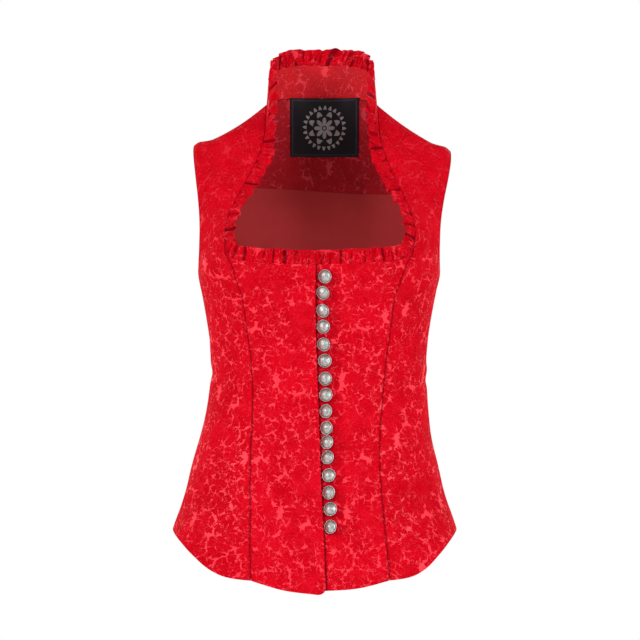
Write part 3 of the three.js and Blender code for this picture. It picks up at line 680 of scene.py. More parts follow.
def give(**values):
    """Wires signals to the outputs of the group on the bench."""
    result = Bench.tree.nodes.new("NodeGroupOutput")
    for key, value in values.items():
        link(value, result.inputs[key])
    print(f"{Bench.tree.name}: {len(Bench.tree.nodes)} nodes")


def use_group(group, **inputs):
    return node("ShaderNodeGroup", {key.replace("_", " "): v for key, v in inputs.items()}, node_tree=group)


def new_material(name, **settings):
    """A material and its Principled shader's sockets, set to what is the same all over the surface."""
    material = bpy.data.materials.new(name)
    material.use_nodes = True
    Bench.tree = material.node_tree
    shader = Bench.tree.nodes["Principled BSDF"].inputs
    for key, value in settings.items():
        shader[key.replace("_", " ")].default_value = value
    return material, shader


def bumped(shader, height, distance):
    link(node("ShaderNodeBump", {"Height": height, "Distance": distance})["Normal"], shader["Normal"])


# %% One lobed flower on the half-drop lattice
REPEAT_WIDTH, REPEAT_HEIGHT = 108.0, 156.0
FLOWERS = [  # x, y, radius in millimetres; petals; turn in radians
    (5.3, 55.4, 16.5, 7, 0.4), (104.0, 2.4, 15.5, 6, 1.9), (70.4, 29.8, 14.9, 8, 5.1),
    (75.2, 2.3, 14.4, 5, 2.7), (83.9, 53.5, 13.9, 7, 3.3), (98.5, 30.1, 13.3, 6, 0.9),
    (56.9, 53.4, 12.8, 5, 4.4), (25.4, 35.4, 12.3, 8, 1.2), (91.7, 77.5, 11.7, 6, 5.7),
    (33.4, 57.7, 11.2, 5, 2.2), (19.7, 13.4, 10.7, 7, 3.9), (53.4, 12.9, 9.6, 5, 0.2),
    (46.7, 33.5, 9.1, 6, 1.5), (72.0, 72.0, 8.5, 5, 4.9), (37.3, 19.2, 7.5, 5, 2.5),
]
CURL, BLUNT, LEAFLETS = 0.55, 0.6, 3.0
HEART, PETAL_DEPTH, BEND_DEPTH, LEAFLET_DEPTH = 0.70, 0.30, 0.06, 0.12
flower, given = new_group(
    "flower", {"Cloth": "Vector", "Centre": "Vector", "Radius": "Float", "Petals": "Float", "Turn": "Float"},
    ["Reach", "Petal"])
x, y, _ = axes(vectors("SUBTRACT", given["Cloth"], given["Centre"]))
drop = calc("ROUND", y / (REPEAT_HEIGHT / 2))
y = y - drop * (REPEAT_HEIGHT / 2)
x = calc("WRAP", x - drop * (REPEAT_WIDTH / 2), REPEAT_WIDTH / 2, -REPEAT_WIDTH / 2)
plain_reach = calc("SQRT", x * x + y * y) / given["Radius"]
angle = calc("ARCTAN2", y, x) + given["Turn"]
curled = (plain_reach * CURL + angle) * given["Petals"]
petal = calc("POWER", abs(calc("COSINE", curled)), BLUNT)
leaflet = abs(calc("SINE", curled * LEAFLETS))
bent = calc("COSINE", angle * 2.0)
outline = leaflet * LEAFLET_DEPTH + (petal * PETAL_DEPTH + (bent * BEND_DEPTH + HEART))
give(Reach=plain_reach / outline, Petal=petal)

# %% [markdown]
# The figure keeps the two flowers whose edges are nearest. Where neither reaches, satin shows. Where both reach
# alike, a thin satin line parts them, and finer veins and squiggles break up the petals. Here and there a calm
# patch has few of these lines, as a woven design has places for the eye to rest.

# %% The brocade's figure: flowers, the satin gaps between them and the drawn lines
FAR = 9.0
DRIFT = (13.0, 13.0, 0.0)
PETAL_RINGS, RING_SWAY = 24.0, 3.4
figure, given = new_group("brocade_figure", {"Cloth": "Vector"}, ["Satin", "Line", "Relief"])
mm = vectors("SCALE", given["Cloth"], Scale=1000.0)
drift = vectors("SUBTRACT", noise(mm, 0.13, 3.0, 0.68, "Color"), (0.5, 0.5, 0.5))
drifted = vectors("MULTIPLY_ADD", drift, DRIFT, mm)
first, second, petals = FAR, FAR, 0.0
for x, y, radius, lobes, turn in FLOWERS:
    one = use_group(flower, Cloth=drifted, Centre=(x, y, 0), Radius=radius, Petals=lobes / 2, Turn=turn)
    petals = blend_value(calc("LESS_THAN", one["Reach"], first), petals, one["Petal"])
    second = calc("MINIMUM", second, calc("MAXIMUM", first, one["Reach"]))
    first = calc("MINIMUM", first, one["Reach"])
uneven, broken = noise(mm, 0.075), noise(mm, 0.12, 1.0)
calm = ramp(noise(mm, 0.024, 1.0), 0.57, 0.62)
gap = ramp(first, 1.15, 1.26) * (1.0 - calm * 0.3)
seam = ramp(second - first - (broken * 0.9 - 0.385), 0.05, -0.03) * ramp(first, 0.5, 0.75)
vein = ramp(petals, 0.5, 0.25) * ramp(first, 0.35, 0.7) * ramp(uneven, 0.42, 0.56)
squiggle = ramp(abs(noise(drifted, 0.17, 1.0) - 0.47), 0.028, 0.006) * ramp(broken, 0.5, 0.42)
satin = highest(gap, highest(seam, vein, squiggle) * (1.0 - calm * 0.85))
rings = calc("SINE", first * PETAL_RINGS - petals * RING_SWAY)
line = ramp(rings, 0.1, 1.0) * ramp(uneven, 0.62, 0.42, 0.25, 1.0)
inside = 1.0 - satin
give(Satin=satin, Line=line * inside, Relief=inside - line * 0.3)

# %% [markdown]
# Every cloth here also has threads and small faults. Two more effects are shared by all of them: `threads`, a
# plain over-and-under weave, and `handled`, a slow cloudy change that keeps a large piece from looking printed,
# with paler flecks where a few threads stand up.

# %% Threads and cloudiness, for every cloth
threads, given = new_group("threads", {"Cloth": "Vector", "Per metre": "Float"}, ["Height"])
warp, weft, _ = axes(vectors("SCALE", given["Cloth"], Scale=given["Per metre"]))
give(Height=calc("SINE", warp * TURN) * calc("SINE", weft * TURN) + 0.5)

handled, given = new_group("handled", {"Cloth": "Vector"}, ["Cloud", "Fleck"])
cloud = ramp(noise(given["Cloth"], 14.0, 3.0, 0.55), 0.3, 0.7)
dense = ramp(noise(given["Cloth"], 45.0, 1.0), 0.35, 0.65, 0.1, 0.6)
speck = ramp(noise(given["Cloth"], 850.0, 1.0, 0.6), 0.5, 0.66)
give(Cloud=cloud, Fleck=dense * speck)

# %% [markdown]
# The brocade is one dye on two yarns, so its colours are steps of one red; the satin's paler step is partly a
# painted sheen. High on the chest and straps the satin is painted duller, a painted shade for the sheen that
# shows less there, and at the back it is dulled less. Seams and the valleys of gathers get painted shade, and the
# ridges of gathers a painted highlight. Inside the collar the same cloth gets a pale painted sheen, and the
# facing is a darker painted-shade copy of it with a little painted sheen.

# %% Brocade for the outside, the inside of the collar and the facing
# the satin red is the ground's own step of red, made paler partly as a painted sheen; ridge is a painted
# highlight, fold a painted shade and haze a painted sheen
DYES = {
    "matt": (0.50, 0.0004, 0.006), "matt_pale": (0.62, 0.0008, 0.009), "drawn": (0.9, 0.008, 0.026),
    "fleck": (0.93, 0.011, 0.03), "satin": (1.0, 0.044, 0.07), "painted_highlight": (1.0, 0.075, 0.09),
    "painted_shade_red": (0.15, 0.0, 0.005), "painted_sheen_haze": (0.5, 0.16, 0.15),
}
BROCADE_THREADS, LINING_THREADS, LABEL_RIBS = 1500.0, 2200.0, 1300
# heights over which the satin is painted duller towards the top, the front-to-back change, and the share of satin
# left at the back top
CHEST, BEHIND, SATIN_BEHIND = (-0.25, 0.0), (-0.02, 0.04), 0.8
# ramps from the painted shade and highlight values to the painted highlight and painted shade colours
PAINTED_HIGHLIGHT_RAMP, PAINTED_SHADE_RAMP = (-0.1, -0.85, 0.0, 0.9), (0.25, 1.08, 0.0, 0.85)
MATT_ROUGH, SATIN_ROUGH, SATIN_COAT = 0.66, 0.38, 0.2


def woven_brocade(name, painted_shade_tone, painted_satin_at_front_top, painted_sheen_haze):
    material, shader = new_material(name, Specular_IOR_Level=0.008, Coat_Roughness=0.32, Coat_IOR=1.45)
    # a tone below one darkens the red as a painted shade
    dye = {key: (red * painted_shade_tone, green, blue, 1) for key, (red, green, blue) in DYES.items()}
    cloth = cloth_map()
    pattern, marks = use_group(figure, Cloth=cloth), use_group(handled, Cloth=cloth)
    weave = use_group(threads, Cloth=cloth, Per_metre=BROCADE_THREADS)
    _, back, up = axes(object_spot())
    color = blend_color(marks["Cloud"], dye["matt"], dye["matt_pale"])
    color = blend_color(pattern["Line"] * 0.6, color, dye["drawn"])
    color = blend_color(marks["Fleck"], color, dye["fleck"])
    # painted shade on the satin: above the chest its share falls to a given share at the front and a larger one
    # at the back
    painted_satin_at_top = ramp(back, *BEHIND, painted_satin_at_front_top, SATIN_BEHIND)
    satin_painted_duller_on_top = pattern["Satin"] * blend_value(ramp(up, *CHEST), 1.0, painted_satin_at_top)
    color = blend_color(satin_painted_duller_on_top, color, dye["satin"])
    # painted highlight on gather ridges; painted shade at seams, in gather valleys, along the stitching and at
    # the closing
    painted_shade_and_highlight = node("ShaderNodeAttribute", attribute_name="painted_shade_and_highlight")["Fac"]
    painted_highlight = ramp(painted_shade_and_highlight, *PAINTED_HIGHLIGHT_RAMP) * ramp(marks["Fleck"], 0.0, 0.4, 0.5, 1.0)
    color = blend_color(painted_highlight, color, dye["painted_highlight"])
    color = blend_color(ramp(painted_shade_and_highlight, *PAINTED_SHADE_RAMP), color, dye["painted_shade_red"])
    # a pale pinkish painted sheen laid over the whole surface
    link(blend_color(painted_sheen_haze, color, dye["painted_sheen_haze"]), shader["Base Color"])
    link(blend_value(pattern["Satin"], MATT_ROUGH, SATIN_ROUGH), shader["Roughness"])
    link(satin_painted_duller_on_top * SATIN_COAT, shader["Coat Weight"])
    bumped(shader, weave["Height"] * 0.22 + pattern["Relief"], 0.25 * MM)
    print(f"{name}: {len(Bench.tree.nodes)} nodes")
    return material


# the collar's inside is a copy with a pale painted sheen; the facing is a darker painted-shade copy with a little
# painted sheen
brocade = woven_brocade("brocade", 1.0, 0.25, 0.0)
brocade_collar_painted_sheen = woven_brocade("brocade_collar_painted_sheen", 1.0, 0.6, 0.1)
brocade_facing_painted_shade = woven_brocade("brocade_facing_painted_shade", 0.68, 0.8, 0.07)

# %% [markdown]
# The lining is plain cloth, so a fine weave, slow soft folds and a faint sheen are enough. The cord is fuzzy: one
# fine noise stands for its fibres, both in colour and in height.

# %% Lining and cord
LINING_DYES = (0.435, 0.031, 0.034, 1), (0.47, 0.036, 0.039, 1)
CORD_DYES = (0.30, 0.001, 0.006, 1), (0.62, 0.006, 0.02, 1)
lining, shader = new_material("lining", Specular_IOR_Level=0.12, Sheen_Weight=0.05, Roughness=0.7)
cloth = cloth_map()
marks = use_group(handled, Cloth=cloth)
weave = use_group(threads, Cloth=cloth, Per_metre=LINING_THREADS)
link(blend_color(marks["Cloud"], *LINING_DYES), shader["Base Color"])
bumped(shader, weave["Height"] * 0.02 + noise(cloth, 22.0, 2.0, 0.4), 2.2 * MM)

cord, shader = new_material("cord", Specular_IOR_Level=0.3, Sheen_Weight=0.2, Roughness=0.7)
fibre = noise(object_spot(), 2600.0, 2.0, 0.6)
link(blend_color(fibre, *CORD_DYES), shader["Base Color"])
bumped(shader, fibre, 0.25 * MM)
print("made:", lining.name, cord.name)

# %% [markdown]
# The label is a ribbon of black satin with a design in a second, grey weft. This one carries a plain folk
# rosette: a flower of eight petals inside a wreath of small leaves.

# %% Label cloth with a woven rosette
LABEL_HALF_WIDTH, LABEL_HALF_HEIGHT = 0.0425, 0.0357
LABEL_DYES = (0.005, 0.005, 0.008, 1), (0.026, 0.03, 0.045, 1)
GREY_WEFT = (0.38, 0.38, 0.39, 1)
label_cloth, shader = new_material("label_cloth", Specular_IOR_Level=0.22)
middle = vectors("SUBTRACT", cloth_map(), (0.0, LABEL_HALF_HEIGHT, 0.0))
across, up, _ = axes(middle)
radius = vectors("LENGTH", middle) * 1000.0
angle = calc("ARCTAN2", up, across)


def petalled(count, start, inner, outer, turn, sharp):
    """A ring of petals: white where the radius is under a limit that swings between two sizes."""
    wave = abs(calc("COSINE", angle * (count / 2) + turn))
    limit = calc("POWER", wave, sharp) * (outer - inner) + inner
    return ramp(limit - radius, -0.15, 0.25) * ramp(radius, start - 0.2, start + 0.2)


core = petalled(8, 3.1, 3.6, 13.2, 0.0, 0.7)
tips = petalled(8, 15.0, 10.8, 21.0, math.pi / 2, 1.4)
leaves = petalled(24, 22.8, 20.4, 27.6, 0.4, 1.2)
eye = ramp(radius, 2.0, 1.6)
design = highest(core, tips, leaves, eye)
ribs = calc("SINE", up * (TURN * LABEL_RIBS))
from_edge = calc("MINIMUM", LABEL_HALF_WIDTH - abs(across), LABEL_HALF_HEIGHT - abs(up))
border = ramp(from_edge, 0.0016, 0.0021) * ramp(from_edge, 0.0035, 0.003)
grey = design * ramp(ribs, -1.0, 0.2, 0.55, 1.0)
link(blend_color(grey, blend_color(border, *LABEL_DYES), GREY_WEFT), shader["Base Color"])
link(blend_value(design, 0.5, 0.75), shader["Roughness"])
bumped(shader, ribs * 0.3 + design, 0.12 * MM)
print(f"{label_cloth.name}: {len(Bench.tree.nodes)} nodes")

# %% [markdown]
# Pewter dulls to grey in its hollows and is rubbed bright where fingers reach. The button's own map gives the
# distance from its middle, so the dark stays in the sunk ring.

# %% Pewter and the floor
PEWTER_BRIGHT, PEWTER_DULL = (0.60, 0.59, 0.565, 1), (0.045, 0.044, 0.042, 1)
pewter, shader = new_material("pewter", Metallic=1.0)
from_middle, _, _ = axes(cloth_map())
cast = noise(object_spot(), 500.0, 4.0, 0.65)
sunk = ramp(from_middle, 0.77, 0.84) * ramp(from_middle, 0.92, 0.88)
dull = highest(sunk * 0.92, ramp(cast, 0.42, 0.68, 0.0, 0.6))
link(blend_color(dull, PEWTER_BRIGHT, PEWTER_DULL), shader["Base Color"])
link(blend_value(dull, 0.4, 0.62), shader["Roughness"])
bumped(shader, cast, 0.5 * MM)
floor_paint, _ = new_material("floor_paint", Base_Color=(0.9, 0.9, 0.9, 1), Roughness=0.9)
print("materials:", [m.name for m in bpy.data.materials if m.users])

# %% [markdown]
# With the cloth and its finishes ready, the panels are sewn up. Each gets its own place on the bolt, so that no
# two show the same flowers, and its grain runs up its middle or along its straight edge. The button row comes
# first, because the cloth beside the lapping edge and behind each button gets a painted shadow. The button row
# comes
# first, because the cloth below each button is a little darker, where no light gets in.

# %% Build the panels and the collar
GRAIN = {"front_centre": 0, "side_front": 20, "side_back": 20, "centre_back": 0, "collar_stand": None}
SEAMS = {"front_centre": ["end"], "side_front": ["start", "end", "top"], "side_back": ["start", "end"],
         "centre_back": ["start", "end", "top"], "collar_stand": ["bottom"]}
WAIST_LEVEL = -290
BOLT_SHIFT = 0.15
FIRST_BUTTON, BUTTON_PITCH, FROM_EDGE = -178, 19.7, 10.6
HAND_SEWN = [0.2, 1.6, 0.3, 0.5, -0.7, -1.2, -2.6, -2.6, -2.2, -2, 0.4, 2.1, 1, 0.6, 0.9, 0.4]
LAP_SHADOW = 3
BUTTON_SHADOW = dict(x=-2.3, z=-1.2, reach=10.3, depth=0.88)
button_rows = [FIRST_BUTTON - BUTTON_PITCH * i + shift for i, shift in enumerate(HAND_SEWN)]
button_spots = [(float(closing(z)) + FROM_EDGE + (2 if i == 0 else 0), z) for i, z in enumerate(button_rows)]


def shaded_closing(points):
    """Painted shadow on the cloth beside the lapping edge and behind each button."""
    beyond = points[..., 0] - closing(points[..., 2])
    shade = np.exp(-((np.maximum(beyond, 0) / LAP_SHADOW) ** 2))
    for x, z in button_spots:
        away = np.hypot(points[..., 0] - x - BUTTON_SHADOW["x"], points[..., 2] - z - BUTTON_SHADOW["z"])
        shade = np.maximum(shade, BUTTON_SHADOW["depth"] * np.exp(-((away / BUTTON_SHADOW["reach"]) ** 4)))
    return shade


cut_from = np.random.default_rng(5)
for name, points in grids.items():
    part = name if name == "collar_stand" else name.rpartition("_")[0]
    grain = points.shape[1] // 2 if GRAIN[part] is None else GRAIN[part]
    uv = cloth_uv(points, grain, WAIST_LEVEL) + cut_from.uniform(0, BOLT_SHIFT, 2)
    inside = brocade_collar_painted_sheen if part == "collar_stand" else lining
    shade = shaded_closing(points) if name == "front_centre_left" else None
    faces = [brocade, inside]
    piece, area = shell(f"{name}_cloth", points, normals[name], uv, SEAMS[part], faces, painted_shade_and_highlight=shade)
    as_cloth(piece, name, area)

# %% [markdown]
# The ruffle is a strip about a fifth longer than the neck's edge, gathered along one side and sewn into that
# edge. Its waves begin as tight small pleats at the stitching and open towards the free side. No two waves of
# real gathers match, so their height, spacing and lean all drift.

# %% The neck's edge, where the ruffle is sewn in
RUFFLE_THICK = 0.9
COURSE = table("share waves width tilt", [
    (0, 0, 17, 14), (0.2, 7.5, 17, 12), (0.27, 10, 17, 12), (0.42, 14.5, 18, 12), (0.57, 19, 18, 4),
    (0.7, 22.6, 17, -12), (0.82, 26, 15, -8), (0.91, 28.6, 21, 6), (1, 31, 22, 12),
])
RUFFLE_CUTS = [0.02, 19.25, 42.75, 61.98]
WAVE_STEPS, RUFFLE_ROWS = 22, 10
EDGE_STEP, EASE = 0.5, 22
SMOOTH_OUT, SMOOTH_ALONG = 8, 6


def neck_edge():
    """Root line of the ruffle from the closing up the right side, round the collar and down the left."""
    strap_end = len(grids["side_front_right"]) - 1 - COLLAR_STEPS - STRAP_STEPS // 2
    pieces = [("front_centre_right", -1, slice(None)), ("side_front_right", slice(ROWS + 1, strap_end + 1), 0),
              ("collar_stand", -1, slice(None)), ("side_front_left", slice(strap_end, ROWS, -1), 0),
              ("front_centre_left", -1, slice(None, None, -1))]
    line = np.concatenate([grids[n][r, c] - normals[n][r, c] * THICK / 2 for n, r, c in pieces])
    out = np.concatenate([normals[n][r, c] for n, r, c in pieces])
    keep = np.concatenate([[True], lengths(np.diff(line, axis=0)) > 0.2])
    return line[keep], out[keep]


def averaged(values, reach):
    window = np.ones(2 * reach + 1) / (2 * reach + 1)
    padded = np.concatenate([np.repeat(values[:1], reach, 0), values, np.repeat(values[-1:], reach, 0)])
    return np.stack([np.convolve(column, window, "valid") for column in padded.T], axis=1)


edge_line, edge_out = neck_edge()
along_edge = walked(edge_line)
s_line = np.linspace(0, along_edge[-1], int(along_edge[-1] / EDGE_STEP))
root_line = read_at(s_line, along_edge, edge_line)
out_line = unit(averaged(read_at(s_line, along_edge, edge_out), SMOOTH_OUT))
along_line = unit(averaged(np.gradient(root_line, axis=0), SMOOTH_ALONG))
half_share = 1 - np.abs(1 - 2 * s_line / s_line[-1])
tilt = np.radians(through(COURSE, "share", "tilt")(half_share))[:, None]
off_line = unit(np.cross(along_line, out_line))
on_line = unit(averaged(off_line * np.cos(tilt) + out_line * np.sin(tilt), int(EASE / EDGE_STEP)))
print(f"neck edge: {s_line[-1]:.0f} mm")

# %% Waves of the gathers
WAVES = COURSE["waves"][-1]
PLEAT_DEPTH, WAVE_DEPTH = 0.75, 3.1
SEWN_IN = 1.5
STITCH_SHADE = 0.75
CORNERS = ((25, 0.1), (35.2, 0.17))  # the wave at each of the collar's corners, and how much narrower it is
CORNER_REACH = 1.6
SLANT = 9


def gathers(count, share):
    """What changes along the strip: the wave, its strength, and where it gets painted shade in its valleys,
    painted highlight on its ridges and painted fine crinkles.
    """
    phase = TURN * count + 0.7 * np.sin(count * 1.37) + 0.4 * np.sin(count * 2.9 + 1)
    wave = np.sin(phase + 0.5 * np.sin(phase)) + 0.22 * np.sin(2 * phase + 1.2 * np.sin(count * 0.8))
    return dict(
        phase=phase, wave=wave, strength=0.85 + 0.22 * np.sin(count * 1.9) + 0.2 * np.sin(count * 4.3 + 1),
        painted_valley_shade=smoothstep(-wave, 0.05, 1.0) * (0.9 + 0.35 * np.sin(count * 3.1)),
        painted_highlight=smoothstep(np.sin(phase + 0.9), 0.3, 1.0) * (0.75 + 0.35 * np.sin(count * 5.3 + 2)),
        runs_out=0.75 + 0.45 * np.sin(count * 4.7 + 1),
        painted_crinkle_phase=2.6 * phase + 1.6 * np.sin(count * 1.7) + 0.9 * np.sin(count * 6.1),
        fineness=lerp(0.58, 0.78, smoothstep(share, 0.74, 0.85)))


def shade_of(g, v, count):
    """Painted shade in the valleys near the stitching and along the stitching itself, painted highlight on the
    ridges, and painted fine crinkles between the two.
    """
    painted_fold_light = g["painted_valley_shade"] * (1 - smoothstep(v - g["runs_out"], -0.35, 0.1)) - g["painted_highlight"] * smoothstep(v, 0.1, 0.5)
    painted_crinkles = np.sin(g["painted_crinkle_phase"] + 3.5 * v) * smoothstep(v, 0.05, 0.3)
    painted_crinkles = painted_crinkles * (g["fineness"] + 0.25 * np.sin(count * 2.3 + 5 * v))
    painted_stitch_shade = STITCH_SHADE * (1 - smoothstep(v, 0.02, 0.2))
    return np.maximum(np.where(np.abs(painted_fold_light) > np.abs(painted_crinkles), painted_fold_light, painted_crinkles), painted_stitch_shade)


def ruffle(name, first, last):
    count = np.linspace(first, last, int((last - first) * WAVE_STEPS) + 1)
    folded = np.minimum(count, 2 * WAVES - count)
    share = through(COURSE, "waves", "share")(folded)
    s = np.where(count <= WAVES, share, 2 - share) / 2 * s_line[-1]
    root, along, out, on = (read_at(s, s_line, line) for line in (root_line, along_line, out_line, on_line))
    face = unit(np.cross(along, on))
    face *= np.sign((face * out).sum(axis=1, keepdims=True))
    narrow = sum(deep * np.exp(-(((count - at) / CORNER_REACH) ** 2)) for at, deep in CORNERS)
    width = through(COURSE, "waves", "width")(folded) * (1 - narrow)
    begins = np.where(count < WAVES, 0.8, 0.89)
    slant = SLANT * smoothstep(share, begins, begins + 0.09)
    g = gathers(count, share)
    rows, shades = [], []
    for v in np.linspace(0, 1, RUFFLE_ROWS + 1):
        depth = lerp(PLEAT_DEPTH, WAVE_DEPTH, smoothstep(v, 0, 0.9)) * g["strength"]
        lean_over = v * (1.5 * np.cos(g["phase"]) + 0.9 * np.sin(count * 0.83) + slant)
        swing = unit(lerp(out, face, min(2 * v, 1)))
        uneven = 1 + 0.03 * np.sin(count * 2.3) + 0.02 * np.sin(g["phase"])
        reach = width * v * uneven - SEWN_IN * (1 - v)
        wave = (g["wave"] * depth)[:, None]
        rows.append(root + on * reach[:, None] + swing * wave + along * lean_over[:, None])
        # painted shade and painted highlight for this row of the strip
        shades.append(shade_of(g, v, count))
    points = np.stack(rows)
    normal = np.cross(np.gradient(points, axis=1), np.gradient(points, axis=0))
    normal = unit(normal * np.sign((normal * face).sum()))
    points = points + normal * RUFFLE_THICK / 2
    cloth_length = walked(points[RUFFLE_ROWS // 2])
    across, up = np.broadcast_arrays(cloth_length, np.linspace(0, 1, RUFFLE_ROWS + 1)[:, None] * width)
    uv = np.stack([across, up], axis=-1) * MM
    shade = np.stack(shades)
    piece, area = shell(f"{name}_cloth", points, normal, uv, (), [brocade], RUFFLE_THICK, painted_shade_and_highlight=shade)
    as_cloth(piece, name, area)
    print(f"{cloth_length[-1]:.0f} mm of cloth on {s[-1] - s[0]:.0f} mm of edge")


for i, name in enumerate(("neck_ruffle_right", "collar_ruffle", "neck_ruffle_left")):
    ruffle(name, *RUFFLE_CUTS[i : i + 2])

# %% [markdown]
# Inside, the back neck has a facing of the same brocade, and below it the back is lined with a plain dark
# cloth. Both hang just inside the back panels, and meet on an edge that was sewn a little out of level.

# %% Facing and lining
FACING_END, FACING_FALL, FALLS_ACROSS = -63, 7.9, (-85, 80)
HEM_MARGIN, FACING_GAP = 8, 0.3
SKIN_DEPTH, SKIN_THICK = 2.3, 0.9
both = {key: np.concatenate([of["centre_back_right"][:, ::-1], of["centre_back_left"][:, 1:]], axis=1)
        for key, of in (("points", grids), ("normals", normals))}


def cut_between(columns, is_facing, rows):
    """The back's columns again, above or below the facing's edge."""
    points, normal = [], []
    for c in columns:
        p, n = both["points"][:, c], both["normals"][:, c]
        height = p[:, 2]
        edge = FACING_END - FACING_FALL * smoothstep(np.interp(FACING_END, height, p[:, 0]), *FALLS_ACROSS)
        low, high = (edge, height[-1]) if is_facing else (height[0] + HEM_MARGIN, edge - FACING_GAP)
        z = np.linspace(low, high, rows)
        points.append(read_at(z, height, p))
        normal.append(unit(read_at(z, height, n)))
    return np.stack(points, axis=1), np.stack(normal, axis=1)


def inner_skin(solid, material, points, normal, uv, depth, thickness, seams):
    piece, area = shell(f"{solid}_cloth", points, normal, uv, seams, [material], thickness, depth)
    as_cloth(piece, solid, area)


columns = both["points"].shape[1]
for solid, slot, material, margin, is_facing, rows, seams in (
        ("back_facing", "brocade", brocade_facing_painted_shade, 6, True, 40, ["top"]),
        ("back_lining", "lining", lining, 12, False, 110, [])):
    points, normal = cut_between(range(margin, columns - margin), is_facing, rows)
    uv = cloth_uv(points, points.shape[1] // 2, WAIST_LEVEL)
    inner_skin(solid, material, points, normal, uv, SKIN_DEPTH, SKIN_THICK, seams)

# %% [markdown]
# The woven label is sewn to the facing and the inside of the collar, so its points are found on those two
# grids, at even steps across and up. Its own map is a plain rectangle, which keeps its border straight.

# %% The label
LABEL = dict(x=3, width=85, bottom=-25, top=46.5)
LABEL_DEPTH, LABEL_THICK = 4.0, 0.8
LABEL_COLUMNS, LABEL_ROWS = 35, 25
NECK_COLUMNS = 20


def spots(points, values, x, z):
    """Values at a distance to the side and a height, on a grid with rows across and columns up."""
    x, z = np.broadcast_arrays(x, z)
    shape, x, z = x.shape, x.ravel(), z.ravel()
    found = np.empty((x.size, 3))
    for i, (a, b) in enumerate(zip(x, z)):
        level = np.array([np.interp(a, row[:, 0], row[:, 2]) for row in points])
        for k in range(3):
            column = np.array([np.interp(a, row[:, 0], value[:, k]) for row, value in zip(points, values)])
            found[i, k] = np.interp(b, level, column)
    return found.reshape(*shape, 3)


def back_neck(back, stand):
    """The top of the back and the collar above it, as one grid."""
    halves = []
    for half in (back[ROWS:], stand[1:]):
        middle = half.shape[1] // 2
        halves.append(half[:, middle - NECK_COLUMNS : middle + NECK_COLUMNS + 1])
    return np.concatenate(halves)


neck = back_neck(both["points"], grids["collar_stand"])
neck_out = back_neck(both["normals"], normals["collar_stand"])
within = neck - neck_out * LABEL_DEPTH
across = LABEL["width"] * np.linspace(-0.5, 0.5, LABEL_COLUMNS)
height = np.linspace(LABEL["bottom"], LABEL["top"], LABEL_ROWS)[:, None]
from_side = lean(0) + LABEL["x"] + across
label_points = spots(within, within, from_side, height)
label_out = unit(spots(within, neck_out, from_side, height))
uv = np.stack(np.broadcast_arrays(across, height - LABEL["bottom"]), axis=-1) * MM
inner_skin("neck_label", label_cloth, label_points, label_out, uv, 0.0, LABEL_THICK, [])

# %% [markdown]
# The bodice closes with a close row of cast pewter buttons: a flat raised rim, a sunk ring, and a low dome in
# the middle. A profile turned round an axis gives that shape. Each button hangs on a short shank, so no two face
# quite the same way, and a cord loop sewn into the right front's edge lies round each shank.

# %% Buttons
BUTTON_PROFILE = [
    (0, 0), (1.9, 0), (1.9, 3.0), (7.2, 3.4), (7.9, 3.7), (8.2, 4.1), (8.2, 4.4), (8.1, 4.75), (7.85, 5.0),
    (7.55, 5.0), (7.35, 4.7), (7.2, 4.35), (6.9, 4.35), (6.6, 4.75), (5.9, 5.45), (4.9, 6.25), (3.6, 7.0),
    (2.3, 7.6), (1.2, 8.0), (0, 8.2),
]
BUTTON_RADIUS, BUTTON_SIDES = 8.2, 40
SHANK_OUT, TIPPED_OUT = 0.4, 1.8
left, left_out = grids["front_centre_left"], normals["front_centre_left"]


def button_mesh(place_at, facing_out):
    turns = np.tile(np.arange(BUTTON_SIDES) / BUTTON_SIDES * TURN, len(BUTTON_PROFILE))
    radius, height = np.repeat(BUTTON_PROFILE, BUTTON_SIDES, axis=0).T
    verts = np.stack([radius * np.cos(turns), radius * np.sin(turns), height], axis=1)
    ring = np.arange(BUTTON_SIDES)
    a = (np.arange(len(BUTTON_PROFILE) - 1) * BUTTON_SIDES)[:, None] + ring
    b = a - ring + (ring + 1) % BUTTON_SIDES
    faces = np.stack([a, b, b + BUTTON_SIDES, a + BUTTON_SIDES], axis=-1).reshape(-1, 4)
    spin = Vector((0, 0, 1)).rotation_difference(Vector(facing_out)).to_matrix()
    return verts @ np.array(spin).T + place_at, faces, np.stack([radius / BUTTON_RADIUS, turns], axis=1)


print("button:", len(BUTTON_PROFILE), "rings of", BUTTON_SIDES)

# %% [markdown]
# Each loop leaves the edge, bends round the shank and comes back. Its path is laid on the cloth first, and then
# two strands are wound round it, because a cord is known by its twist.

# %% Twisted cord loops
LOOP_BEND = 2 + 0.3 + 1.1  # the shank's radius, some slack and half a cord
TO_EDGE = [(-10.9, 0.7), (-6, 0.8), (-2.5, 0.95)]  # mm to the side, and how wide the loop is in bends
CORD_HEIGHT = 1.6
STRAND, STRAND_OUT, TWIST = 0.62, 0.52, 4.2
LOOP_STEPS, CORD_SIDES = 90, 8
TILT_ASIDE, MOST_ASIDE, TILT_UP = (-0.36, 0.17), -0.6, (0.08, 0.08)


def tube(path, radius):
    """A tube along points; one fixed direction keeps its rings from turning."""
    along = unit(np.gradient(path, axis=0))
    across = unit(np.cross(along, np.array([0.3, -1, 0.2])))
    turn = (np.arange(CORD_SIDES) / CORD_SIDES * TURN)[:, None]
    around = across[:, None] * np.cos(turn) + np.cross(along, across)[:, None] * np.sin(turn)
    index = np.arange(len(path) * CORD_SIDES).reshape(len(path), CORD_SIDES)
    nxt = np.roll(index, -1, axis=1)
    faces = np.stack([index[:-1], nxt[:-1], nxt[1:], index[1:]], axis=-1).reshape(-1, 4)
    return (path[:, None] + radius * around).reshape(-1, 3), faces


